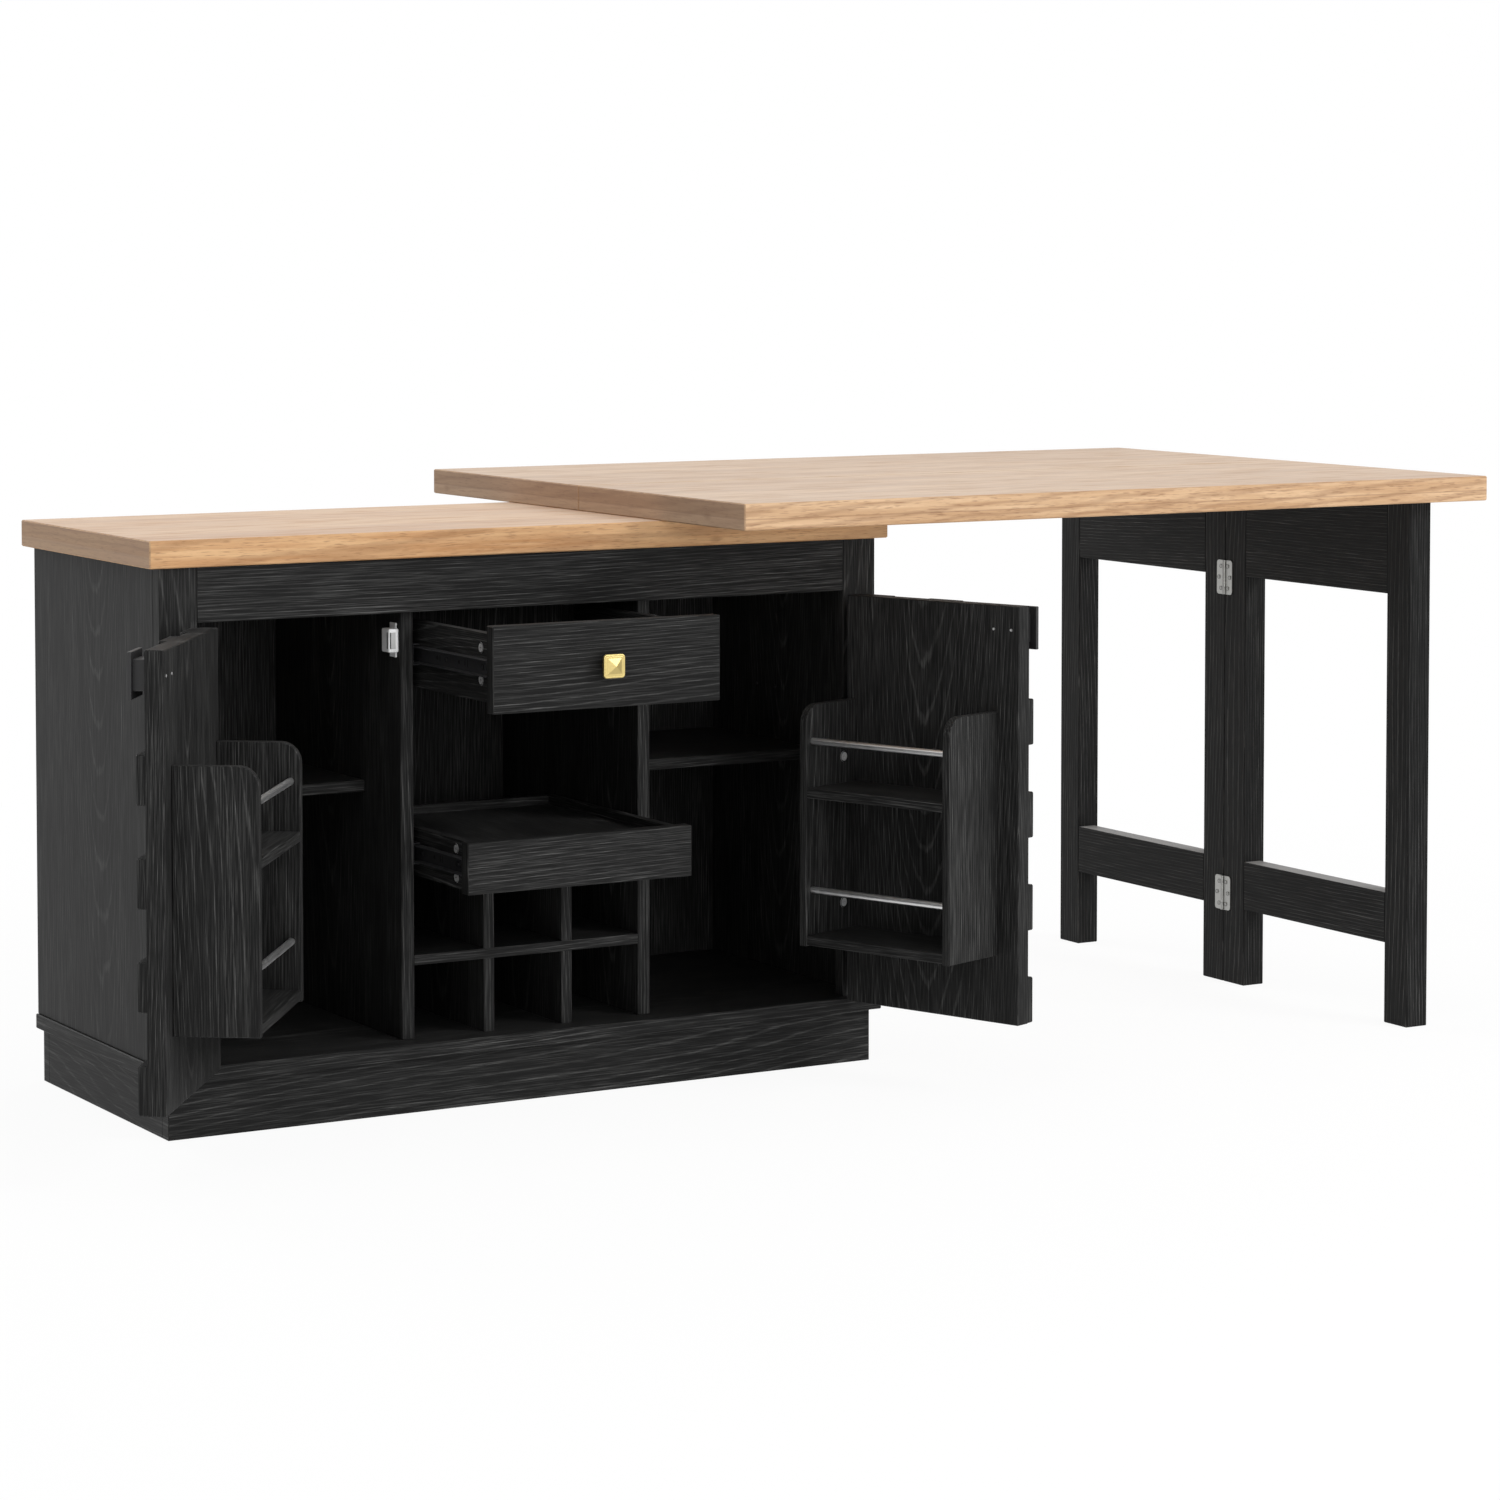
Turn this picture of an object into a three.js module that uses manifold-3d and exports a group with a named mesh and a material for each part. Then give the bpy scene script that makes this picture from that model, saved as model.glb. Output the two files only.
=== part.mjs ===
// Kitchen island unit: a cupboard on a plinth, with two rack doors, a drawer, a pull-out tray and a
// wine rack, and a dining table that lies on its top, slides in and folds.
// Millimetres, +Z up. x = 0 is the middle of the cupboard, y = 0 the middle of the plinth's front
// board and z = 0 the floor. Inside the "unit" group below, y = 0 is the front of the face frame.

import * as THREE from "three";
import { mergeVertices } from "three/addons/utils/BufferGeometryUtils.js";
import Module from "manifold-3d";

const wasm = await Module();
wasm.setup();

// ---------------------------------------------------------------- driving dimensions

// Cupboard
const FACE_HALF_W = 516; // half width over the face frame and the side panels
const CARCASS_D = 430; // front of the face frame to the back edge of the sides
const PLINTH_H = 71;
const PLINTH_T = 20;
const PLINTH_INSET = 7.5; // from the side panels' faces
const SEAM_GROOVE = 1; // width and depth of the joint line where two plinth boards meet
const SLAB_T = 19;
const SLAB_OVERHANG = 3; // beyond the side panels
const SLAB_FRONT = -14; // the slab stands this far in front of the face frame
const CARCASS_TOP = 709;
const SIDE_T = 16;
const BACK_T = 12;
const BACK_INSET = 6;
const FRAME_T = 20;
const STILE_W = 50;
const RAIL_H = 69.5;
const PARTITION_IN = 162.5; // inner face of each partition, from the middle
const PARTITION_T = 18;
const SHELF_T = 15;
const SHELF_Z = 397;
const SHELF_RACK_GAP = 1.7; // behind the racks of the closed doors
const TOP_T = 34.5;
const TOP_OVERHANG = 15.5; // beyond the side panels
const LOWER_TOP_FRONT = -9;
const TOP_BACK_OVERHANG = 5;
const ARRIS = 1; // small chamfer on every board edge
const TOP_ARRIS = 1.5;

// Wine rack
const WINE_T = 15; // the two uprights
const WINE_SHELF_T = 13;
const WINE_SHELF_Z = 185;
const WINE_TOP = 290;
const WINE_INNER = 49; // inner face of each upright, from the middle
const HALVING_PLAY = 0.25; // play in the halving joints of uprights and shelf

// Doors, drawn shut; each is then turned open about its hinge
const DOOR_T = 23;
const DOOR_HINGE_GAP = 1.5; // stile to door
const DOOR_FREE_GAP = 1; // door to partition
const DOOR_FLOOR_GAP = 2; // under and over the door
const LEFT_OPEN_DEG = 125.75;
const RIGHT_OPEN_DEG = 110;
const RELIEF_COLS = 5;
const RELIEF_ROWS = 9;
const RELIEF_H = 11; // raised squares on the outside of the doors
const RELIEF_GROOVE = 0.8; // between the corners of neighbouring squares
const RELIEF_BEVEL = 1.5;
const SEAT_GAP = 0.3; // between pieces that are screwed together inside a turned door

// Door pull: a square plate on a smaller square block
const PULL_PROUD = 20.5;
const PULL_PLATE_T = 5;
const PULL_PLATE = 56;
const PULL_BLOCK = 37;

// Door rack
const RACK_FREE_INSET = 33; // from the free edge of the door to the rack
const RACK_HINGE_INSET = 2.5; // from the hinge edge of the door to the rack
const RACK_D = 104;
const RACK_BOTTOM = 180.5;
const RACK_H = 319;
const RACK_SIDE_T = 12;
const RACK_SHELF_T = 13;
const RACK_SHELVES = [1.5, 196.5]; // underside of each shelf over the rack's bottom
const RACK_CORNER_R = 26;
const ROD_R = 4.5;
const ROD_FROM_EDGE = 12.4; // middle of the rod to the rack's open edge
const ROD_UP = { lower: 74, upper: 271 }; // over the rack's bottom

// Continuous door hinge; its pin stands in front of the frame, so the door swings clear of it
const HINGE_PIN_OUT = 13; // in front of the face frame
const HINGE_PIN_SIDE = 12.5; // from the stile's inner edge, over the stile
const HINGE_END_GAPS = [13, 12.5]; // from the door's lower and upper edge
const HINGE_KNUCKLES = 13;
const HINGE_KNUCKLE_R = 4;
const HINGE_PIN_R = 1.6;
const HINGE_LEAF_T = 1;
const HINGE_STILE_LEAF_W = 25;
const HINGE_DOOR_LEAF_W = 21;
const KNUCKLE_PLAY = 0.4;
const PIN_PLAY = 0.3;

// Drawer and tray
const FRONT_T = 18;
const BOX_SIDE_GAP = 12.5; // from the partitions, for the runners
const BOX_T = 12;
const BOX_D = 350;
// up and down are the box's gaps to the front's lower and upper edge, and slideUp the runner's middle over it
const DRAWER = { out: 202, h: 108.5, sideGap: 2, up: 11, down: 12, slideUp: 54.5, topGap: 2.5 };
const TRAY = { out: 129.5, h: 65.5, sideGap: 2.5, up: 2, down: 2, slideUp: 33, floorUp: 52, rackGap: 5 };
const DRAWER_BOTTOM_UP = 8; // over the box's lower edge
const DRAWER_BOTTOM_T = 5;
const TRAY_FLOOR_T = 12;

// Runners: a channel on each partition and a smaller one on each box side, sliding inside it
const RUNNER_H = 27;
const RUNNER_T = 1;
const RUNNER_D = 10;
const RUNNER_FRONT = 22;
const SLIDE_H = 21;
const SLIDE_PLAY = 0.3; // from the inner channel's lips to the runner's web

// Knob on the drawer
const KNOB = 30;
const KNOB_CORNER_R = 5;
const KNOB_RIM_T = 5;
const KNOB_BEVEL = 1.5;
const KNOB_POINT_H = 4.5;
const KNOB_NECK_R = 7;
const KNOB_NECK_H = 12;
const KNOB_FOOT_R = 9;
const KNOB_FOOT_H = 2;
const KNOB_UP = 53; // over the drawer front's lower edge

// Magnetic catches on the partitions
const CATCH = { doorGap: 1.5, d: 21.5, proud: 14, h: 30, down: 37.5, flangeH: 44, flangeT: 2, flangeY0: 30, flangeD: 18 };

// Table: two leaves that meet at a folding seam, and two hinged leg frames
const TABLE_X0 = 183.5;
const TABLE_L = 1207;
const TABLE_FRONT = -224;
const TABLE_BACK = 673;
const LEAF_GAP = 0.5;
const LEG_END_INSET = 71.5; // from the table's end
const LEG_T = 37;
const LEG_W = 50;
const LEG_FRONT_INSET = 36; // from the front leaf's edge; the back frame is flush with the back leaf
const LEG_SEAM_GAP = 0.5;
const LEG_TOP_PLAY = 0.5; // the swinging frame clears the leaf above it
const APRON_H = 133;
const RAIL_T = 30;
const STRETCHER_Z0 = 114;
const STRETCHER_H = 71.5;

// Butt hinges between the leg frames
const BUTT_H = 51;
const BUTT_W = 18.5; // each leaf, from the pin
const BUTT_T = 1.5;
const BUTT_R = 2.5;
const BUTT_PIN_R = 1.1;
const BUTT_BORE_R = 1.4;
const BUTT_CORNER_R = 4;
const BUTT_KNUCKLES = 5;
const BUTT_RAIL_LAP = { lower: 6, upper: 29.5 }; // how far each hinge reaches below its stretcher or apron

// ---------------------------------------------------------------- worked-out sizes

const PLINTH_HALF_W = FACE_HALF_W - PLINTH_INSET;
const SLAB_HALF_W = FACE_HALF_W + SLAB_OVERHANG;
const LOWER_TOP_HALF_W = FACE_HALF_W + TOP_OVERHANG;
const LOWER_TOP_BACK = CARCASS_D + TOP_BACK_OVERHANG;
const RAIL_BOTTOM = CARCASS_TOP - RAIL_H;
const SLAB_TOP = PLINTH_H + SLAB_T;
const TABLE_Z0 = CARCASS_TOP + TOP_T;
const TABLE_Z1 = TABLE_Z0 + TOP_T;
const TABLE_SEAM_Y = (TABLE_FRONT + TABLE_BACK) / 2;
const LEG_X0 = TABLE_X0 + TABLE_L - LEG_END_INSET - LEG_T;
const LEG_FRAME_W = (TABLE_BACK - TABLE_FRONT - LEG_FRONT_INSET - LEG_SEAM_GAP) / 2;
const LEG_SEAM_Y = TABLE_BACK - LEG_FRAME_W - LEG_SEAM_GAP / 2;
const BUTT_Z = {
  lower: STRETCHER_Z0 - BUTT_RAIL_LAP.lower,
  upper: TABLE_Z0 - APRON_H - BUTT_RAIL_LAP.upper,
};
const BACK_Y0 = CARCASS_D - BACK_INSET - BACK_T;
const STILE_IN = FACE_HALF_W - STILE_W;
const PARTITION_OUT = PARTITION_IN + PARTITION_T;
const DOOR_HINGE_X = STILE_IN - DOOR_HINGE_GAP;
const DOOR_FREE_X = PARTITION_OUT + DOOR_FREE_GAP;
const DOOR_Z0 = SLAB_TOP + DOOR_FLOOR_GAP;
const DOOR_Z1 = RAIL_BOTTOM - DOOR_FLOOR_GAP;
const HINGE_X = STILE_IN + HINGE_PIN_SIDE;
const HINGE_Z = DOOR_Z0 + HINGE_END_GAPS[0];
const HINGE_LEN = DOOR_Z1 - HINGE_END_GAPS[1] - HINGE_Z;
const CELL_W = (DOOR_HINGE_X - DOOR_FREE_X) / RELIEF_COLS;
const CELL_H = (DOOR_Z1 - DOOR_Z0) / RELIEF_ROWS;
const SHELF_FRONT = DOOR_T + SEAT_GAP + RACK_D + SHELF_RACK_GAP;
const RACK_W = DOOR_HINGE_X - DOOR_FREE_X - RACK_FREE_INSET - RACK_HINGE_INSET;
const RACK_TOP = RACK_BOTTOM + RACK_H;
const BOX_HALF_W = PARTITION_IN - BOX_SIDE_GAP;
const DRAWER_Z0 = RAIL_BOTTOM - DRAWER.topGap - DRAWER.h;
const TRAY_Z0 = WINE_TOP + TRAY.rackGap;
const KNOB_Z = DRAWER_Z0 + KNOB_UP;
const CATCH_Y0 = DOOR_T + CATCH.doorGap;
const CATCH_Z = RAIL_BOTTOM - CATCH.down;

// ---------------------------------------------------------------- materials

const paint = (color, roughness, metalness = 0) =>
  new THREE.MeshStandardMaterial({ color, roughness, metalness });
const blackAsh = paint("#252423", 0.62);
const oak = paint("#cdb292", 0.48);
const brass = paint("#d8bd6a", 0.3, 1);
const blackSteel = paint("#232325", 0.4, 0.7);
const nickel = paint("#a9a9a6", 0.35, 1);
const chrome = paint("#d9dbdd", 0.12, 1);
const whitePlastic = paint("#ecebe8", 0.5);

// ---------------------------------------------------------------- shaping helpers

const AXES = {
  x: [new THREE.Vector3(0, 1, 0), new THREE.Vector3(0, 0, 1), new THREE.Vector3(1, 0, 0)],
  y: [new THREE.Vector3(0, 0, 1), new THREE.Vector3(1, 0, 0), new THREE.Vector3(0, 1, 0)],
  z: [new THREE.Vector3(1, 0, 0), new THREE.Vector3(0, 1, 0), new THREE.Vector3(0, 0, 1)],
};

/** Extrudes an outline along an axis from `from` over `length`, with its end edges chamfered. */
function extrude(shape, axis, from, length, chamfer = 0, curveSegments = 12) {
  const geometry = new THREE.ExtrudeGeometry(shape, {
    depth: length - 2 * chamfer,
    curveSegments,
    bevelEnabled: chamfer > 0,
    bevelThickness: chamfer,
    bevelSize: chamfer,
    bevelOffset: -chamfer,
    bevelSegments: 1,
  });
  geometry.translate(0, 0, from + chamfer);
  return geometry.applyMatrix4(new THREE.Matrix4().makeBasis(...AXES[axis]));
}

const outline = (points) => new THREE.Shape(points.map(([u, v]) => new THREE.Vector2(u, v)));

/** A rectangle with its corners cut by the arris. */
function chamferedRect(u0, u1, v0, v1, c) {
  return outline([
    [u0 + c, v0], [u1 - c, v0], [u1, v0 + c], [u1, v1 - c],
    [u1 - c, v1], [u0 + c, v1], [u0, v1 - c], [u0, v0 + c],
  ]);
}

/** A rectangle whose corners are rounded. */
function roundedRect(u0, u1, v0, v1, r) {
  const shape = new THREE.Shape();
  shape.moveTo(u0 + r, v0);
  shape.lineTo(u1 - r, v0);
  shape.absarc(u1 - r, v0 + r, r, -Math.PI / 2, 0);
  shape.lineTo(u1, v1 - r);
  shape.absarc(u1 - r, v1 - r, r, 0, Math.PI / 2);
  shape.lineTo(u0 + r, v1);
  shape.absarc(u0 + r, v1 - r, r, Math.PI / 2, Math.PI);
  shape.lineTo(u0, v0 + r);
  shape.absarc(u0 + r, v0 + r, r, Math.PI, 1.5 * Math.PI);
  return shape;
}

/** A board between two corners, laid flat on the axis of its thickness, every edge eased. */
function board([x0, x1], [y0, y1], [z0, z1], arris = ARRIS) {
  const sizes = { x: x1 - x0, y: y1 - y0, z: z1 - z0 };
  const axis = Object.keys(sizes).reduce((a, b) => (sizes[b] < sizes[a] ? b : a));
  if (axis === "x") return extrude(chamferedRect(y0, y1, z0, z1, arris), "x", x0, x1 - x0, arris);
  if (axis === "y") return extrude(chamferedRect(z0, z1, x0, x1, arris), "y", y0, y1 - y0, arris);
  return extrude(chamferedRect(x0, x1, y0, y1, arris), "z", z0, z1 - z0, arris);
}

/** An upright rod or tube blank along z. */
function column(x, y, z0, z1, r, sides = 16) {
  const geometry = new THREE.CylinderGeometry(r, r, z1 - z0, sides);
  geometry.rotateX(Math.PI / 2);
  return geometry.translate(x, y, (z0 + z1) / 2);
}

function toSolid(geometry) {
  const bare = geometry.clone();
  bare.deleteAttribute("normal");
  bare.deleteAttribute("uv");
  const merged = mergeVertices(bare, 1e-4);
  return new wasm.Manifold(
    new wasm.Mesh({
      numProp: 3,
      vertProperties: new Float32Array(merged.attributes.position.array),
      triVerts: new Uint32Array(merged.index.array),
    }),
  );
}

function toGeometry(solid) {
  const mesh = solid.getMesh();
  const geometry = new THREE.BufferGeometry();
  geometry.setAttribute("position", new THREE.BufferAttribute(new Float32Array(mesh.vertProperties), 3));
  geometry.setIndex(new THREE.BufferAttribute(new Uint32Array(mesh.triVerts), 1));
  const flat = geometry.toNonIndexed();
  flat.computeVertexNormals();
  return flat;
}

const join = (...geometries) => toGeometry(geometries.map(toSolid).reduce((a, b) => a.add(b)));
const cut = (body, ...tools) =>
  toGeometry(tools.map(toSolid).reduce((a, b) => a.subtract(b), toSolid(body)));

function place(group, name, geometry, material) {
  const mesh = new THREE.Mesh(geometry, material);
  mesh.name = name;
  group.add(mesh);
}

/** An interval mirrored to one side of the unit: side is -1 for the left and 1 for the right. */
const across = (side, a, b) => (side < 0 ? [-b, -a] : [a, b]);

// ---------------------------------------------------------------- cupboard

/** The plinth ring, with a joint line on each side where front and back boards cover the side boards. */
function plinth() {
  const w = PLINTH_HALF_W;
  const x = w - PLINTH_T;
  const seams = [PLINTH_T, CARCASS_D - PLINTH_T];
  const outside = extrude(chamferedRect(-w, w, 0, CARCASS_D, ARRIS), "z", 0, PLINTH_H);
  const inside = chamferedRect(-x, x, PLINTH_T, CARCASS_D - PLINTH_T, ARRIS);
  const grooves = seams.flatMap((y) => [-1, 1].map((side) => {
    const g = SEAM_GROOVE;
    const corners = [[side * (w - g), y], [side * (w + 1), y - g], [side * (w + 1), y + g]];
    return extrude(outline(corners), "z", -1, PLINTH_H + 2);
  }));
  return cut(outside, extrude(inside, "z", -1, PLINTH_H + 2), ...grooves);
}

function addCarcass(unit) {
  const height = [SLAB_TOP, CARCASS_TOP];
  place(unit, "plinth", plinth(), blackAsh);
  const slabX = [-SLAB_HALF_W, SLAB_HALF_W];
  place(unit, "floor_slab", board(slabX, [SLAB_FRONT, CARCASS_D], [PLINTH_H, SLAB_TOP]), blackAsh);
  const inside = FACE_HALF_W - SIDE_T;
  place(unit, "back_panel", board([-inside, inside], [BACK_Y0, BACK_Y0 + BACK_T], height), blackAsh);
  place(unit, "top_rail", board([-STILE_IN, STILE_IN], [0, FRAME_T], [RAIL_BOTTOM, CARCASS_TOP]), blackAsh);
  for (const [side, label] of [[-1, "left"], [1, "right"]]) {
    const sideX = across(side, inside, FACE_HALF_W);
    place(unit, `side_panel_${label}`, board(sideX, [FRAME_T, CARCASS_D], height), blackAsh);
    place(unit, `stile_${label}`, board(across(side, STILE_IN, FACE_HALF_W), [0, FRAME_T], height), blackAsh);
    const partitionX = across(side, PARTITION_IN, PARTITION_OUT);
    place(unit, `partition_${label}`, board(partitionX, [FRAME_T, BACK_Y0], height), blackAsh);
    const shelfX = across(side, PARTITION_OUT, inside);
    const shelf = board(shelfX, [SHELF_FRONT, BACK_Y0], [SHELF_Z, SHELF_Z + SHELF_T]);
    place(unit, `shelf_${label}`, shelf, blackAsh);
    place(unit, `catch_${label}`, catchBody(side), whitePlastic);
  }
  const topX = [-LOWER_TOP_HALF_W, LOWER_TOP_HALF_W];
  const topY = [LOWER_TOP_FRONT, LOWER_TOP_BACK];
  place(unit, "lower_top", board(topX, topY, [CARCASS_TOP, TABLE_Z0], TOP_ARRIS), oak);
}

/** The magnetic catch: a magnet block on a taller screw flange. */
function catchBody(side) {
  const y1 = CATCH.flangeY0 + CATCH.flangeD;
  const flangeX = across(side, PARTITION_OUT, PARTITION_OUT + CATCH.flangeT);
  const half = CATCH.flangeH / 2;
  const flange = board(flangeX, [CATCH.flangeY0, y1], [CATCH_Z - half, CATCH_Z + half], 0.5);
  const blockX = across(side, PARTITION_OUT, PARTITION_OUT + CATCH.proud);
  const blockY = [CATCH_Y0, CATCH_Y0 + CATCH.d];
  const block = board(blockX, blockY, [CATCH_Z - CATCH.h / 2, CATCH_Z + CATCH.h / 2], 1);
  return join(flange, block);
}

/** Two uprights and a shelf, halved into each other like an egg crate. */
function addWineRack(unit) {
  const middle = (FRAME_T + BACK_Y0) / 2;
  const shelf = outline([
    [-PARTITION_IN, FRAME_T], [PARTITION_IN, FRAME_T], [PARTITION_IN, BACK_Y0],
    ...[1, -1].flatMap((side) => {
      const far = side * (WINE_INNER + (side > 0 ? WINE_T + HALVING_PLAY : -HALVING_PLAY));
      const near = side * (WINE_INNER + (side > 0 ? -HALVING_PLAY : WINE_T + HALVING_PLAY));
      return [[far, BACK_Y0], [far, middle], [near, middle], [near, BACK_Y0]];
    }),
    [-PARTITION_IN, BACK_Y0],
  ]);
  place(unit, "wine_shelf", extrude(shelf, "z", WINE_SHELF_Z, WINE_SHELF_T), blackAsh);
  const z0 = WINE_SHELF_Z - HALVING_PLAY;
  const z1 = WINE_SHELF_Z + WINE_SHELF_T + HALVING_PLAY;
  const upright = outline([
    [FRAME_T, SLAB_TOP], [BACK_Y0, SLAB_TOP], [BACK_Y0, WINE_TOP], [FRAME_T, WINE_TOP],
    [FRAME_T, z1], [middle + HALVING_PLAY, z1], [middle + HALVING_PLAY, z0], [FRAME_T, z0],
  ]);
  for (const [side, label] of [[-1, "left"], [1, "right"]]) {
    const [x0] = across(side, WINE_INNER, WINE_INNER + WINE_T);
    place(unit, `wine_upright_${label}`, extrude(upright, "x", x0, WINE_T), blackAsh);
  }
}

// ---------------------------------------------------------------- doors

/** The door panel with its chequered relief; the corner square under the pull is left out. */
function doorPanel(side) {
  const panel = board(across(side, DOOR_FREE_X, DOOR_HINGE_X), [0, DOOR_T], [DOOR_Z0, DOOR_Z1]);
  const squares = [];
  for (let col = 0; col < RELIEF_COLS; col++) {
    for (let row = 0; row < RELIEF_ROWS; row++) {
      const pull = col === 0 && row === RELIEF_ROWS - 1;
      if ((col + row) % 2 || pull) continue;
      const g = RELIEF_GROOVE / 2;
      const x0 = DOOR_FREE_X + col * CELL_W;
      const z0 = DOOR_Z0 + row * CELL_H;
      const [u0, u1] = across(side, x0 + g, x0 + CELL_W - g);
      const square = chamferedRect(z0 + g, z0 + CELL_H - g, u0, u1, RELIEF_BEVEL);
      squares.push(extrude(square, "y", -RELIEF_H, RELIEF_H + 2 * RELIEF_BEVEL, RELIEF_BEVEL));
    }
  }
  return join(panel, ...squares);
}

function doorPull(side) {
  const x = DOOR_FREE_X + CELL_W / 2;
  const z = DOOR_Z1 - CELL_H / 2;
  const square = (size) => [
    across(side, x - size / 2, x + size / 2),
    [z - size / 2, z + size / 2],
  ];
  const [plateX, plateZ] = square(PULL_PLATE);
  const [blockX, blockZ] = square(PULL_BLOCK);
  const plateY = [-PULL_PROUD, PULL_PLATE_T - PULL_PROUD];
  const plate = board(plateX, plateY, plateZ, 0.6);
  const block = board(blockX, [plateY[1] - 2, -SEAT_GAP], blockZ, 0.6);
  return join(plate, block);
}

/** Two end boards with a rounded front corner and two shelves between them. */
function doorRack(side) {
  const y0 = DOOR_T + SEAT_GAP;
  const y1 = y0 + RACK_D;
  const x0 = DOOR_FREE_X + RACK_FREE_INSET;
  const x1 = x0 + RACK_W;
  const end = new THREE.Shape();
  end.moveTo(y0, RACK_BOTTOM);
  end.lineTo(y1, RACK_BOTTOM);
  end.lineTo(y1, RACK_TOP - RACK_CORNER_R);
  end.absarc(y1 - RACK_CORNER_R, RACK_TOP - RACK_CORNER_R, RACK_CORNER_R, 0, Math.PI / 2);
  end.lineTo(y0, RACK_TOP);
  const ends = [x0, x1 - RACK_SIDE_T].map((x) =>
    extrude(end, "x", across(side, x, x + RACK_SIDE_T)[0], RACK_SIDE_T, ARRIS, 8),
  );
  const shelfX = across(side, x0 + RACK_SIDE_T / 2, x1 - RACK_SIDE_T / 2);
  const shelves = RACK_SHELVES.map((up) => board(shelfX, [y0, y1 - ARRIS], [RACK_BOTTOM + up, RACK_BOTTOM + up + RACK_SHELF_T]));
  return join(...ends, ...shelves);
}

function rackRod(side, z) {
  const inset = RACK_SIDE_T + SEAT_GAP;
  const x0 = DOOR_FREE_X + RACK_FREE_INSET + inset;
  const [from] = across(side, x0, x0 + RACK_W - 2 * inset);
  const rod = new THREE.CylinderGeometry(ROD_R, ROD_R, RACK_W - 2 * inset, 20);
  rod.rotateZ(Math.PI / 2);
  const y = DOOR_T + SEAT_GAP + RACK_D - ROD_FROM_EDGE;
  return rod.translate(from + RACK_W / 2 - inset, y, z);
}

/** Knuckle k of a hinge of `count`, shortened by the play at both ends. */
function knuckleSpan(k, z0, length, count) {
  const pitch = length / count;
  return [z0 + k * pitch + KNUCKLE_PLAY / 2, z0 + (k + 1) * pitch - KNUCKLE_PLAY / 2];
}

/** Both leaves of a door's continuous hinge, shut. The stile's leaf carries the pin. */
function doorHinge(side) {
  const at = (points) => outline(points.map(([x, y]) => [side * x, y - HINGE_PIN_OUT]));
  const r = HINGE_KNUCKLE_R;
  const face = HINGE_PIN_OUT;
  const stileEnd = HINGE_X + HINGE_STILE_LEAF_W;
  const stileLeaf = at([
    [stileEnd, face], [stileEnd, face - HINGE_LEAF_T], [HINGE_X + r + 2, face - HINGE_LEAF_T],
    [HINGE_X + r, 0], [HINGE_X + r - 2, 0], [HINGE_X + r, face],
  ]);
  const edge = DOOR_HINGE_X;
  const deep = face + HINGE_DOOR_LEAF_W;
  const doorLeaf = at([
    [edge + SEAT_GAP, deep], [edge + SEAT_GAP + HINGE_LEAF_T, deep],
    [edge + SEAT_GAP + HINGE_LEAF_T, face - r], [HINGE_X - 1, r - 0.5],
    [HINGE_X - r + 1, 0], [edge + SEAT_GAP, face - r - 1.5],
  ]);
  const x = side * HINGE_X;
  const y = -HINGE_PIN_OUT;
  const own = (k, even) => (k % 2 === 0) === even;
  const spans = [...Array(HINGE_KNUCKLES).keys()];
  const leaf = (profile, even) => {
    const plate = extrude(profile, "z", HINGE_Z, HINGE_LEN);
    const clear = spans.filter((k) => !own(k, even)).map((k) => {
      const [z0, z1] = knuckleSpan(k, HINGE_Z, HINGE_LEN, HINGE_KNUCKLES);
      return column(x, y, z0 - KNUCKLE_PLAY, z1 + KNUCKLE_PLAY, r + KNUCKLE_PLAY, 24);
    });
    const knuckles = spans.filter((k) => own(k, even)).map((k) => {
      const [z0, z1] = knuckleSpan(k, HINGE_Z, HINGE_LEN, HINGE_KNUCKLES);
      return column(x, y, z0, z1, r, 24);
    });
    return join(cut(plate, ...clear), ...knuckles);
  };
  const pin = column(x, y, HINGE_Z, HINGE_Z + HINGE_LEN, HINGE_PIN_R);
  const bore = column(x, y, HINGE_Z - 1, HINGE_Z + HINGE_LEN + 1, HINGE_PIN_R + PIN_PLAY);
  return { stile: join(leaf(stileLeaf, true), pin), door: cut(leaf(doorLeaf, false), bore) };
}

/** A group whose children are drawn shut and which turns them open about the hinge pin. */
function turnedGroup(unit, x, y, degrees) {
  const pivot = new THREE.Group();
  pivot.position.set(x, y, 0);
  pivot.rotation.z = THREE.MathUtils.degToRad(degrees);
  const content = new THREE.Group();
  content.position.set(-x, -y, 0);
  pivot.add(content);
  unit.add(pivot);
  return content;
}

function addDoor(unit, side, label, openDegrees) {
  const hinge = doorHinge(side);
  place(unit, `${label}_hinge_stile_leaf`, hinge.stile, blackSteel);
  const door = turnedGroup(unit, side * HINGE_X, -HINGE_PIN_OUT, side * openDegrees);
  place(door, `${label}_door`, doorPanel(side), blackAsh);
  place(door, `${label}_door_pull`, doorPull(side), blackSteel);
  place(door, `${label}_hinge_door_leaf`, hinge.door, blackSteel);
  place(door, `${label}_rack`, doorRack(side), blackAsh);
  for (const [level, up] of Object.entries(ROD_UP)) {
    const z = RACK_BOTTOM + up;
    place(door, `${label}_rack_rod_${level}`, rackRod(side, z), chrome);
  }
}

// ---------------------------------------------------------------- drawer and tray

/** Sides and back of a box in one U, open to its front board. */
function boxWalls(y0, z0, z1) {
  const w = BOX_HALF_W;
  const y1 = y0 + BOX_D;
  const u = outline([
    [-w, y0], [-w + BOX_T, y0], [-w + BOX_T, y1 - BOX_T], [w - BOX_T, y1 - BOX_T],
    [w - BOX_T, y0], [w, y0], [w, y1], [-w, y1],
  ]);
  return extrude(u, "z", z0, z1 - z0);
}

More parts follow.
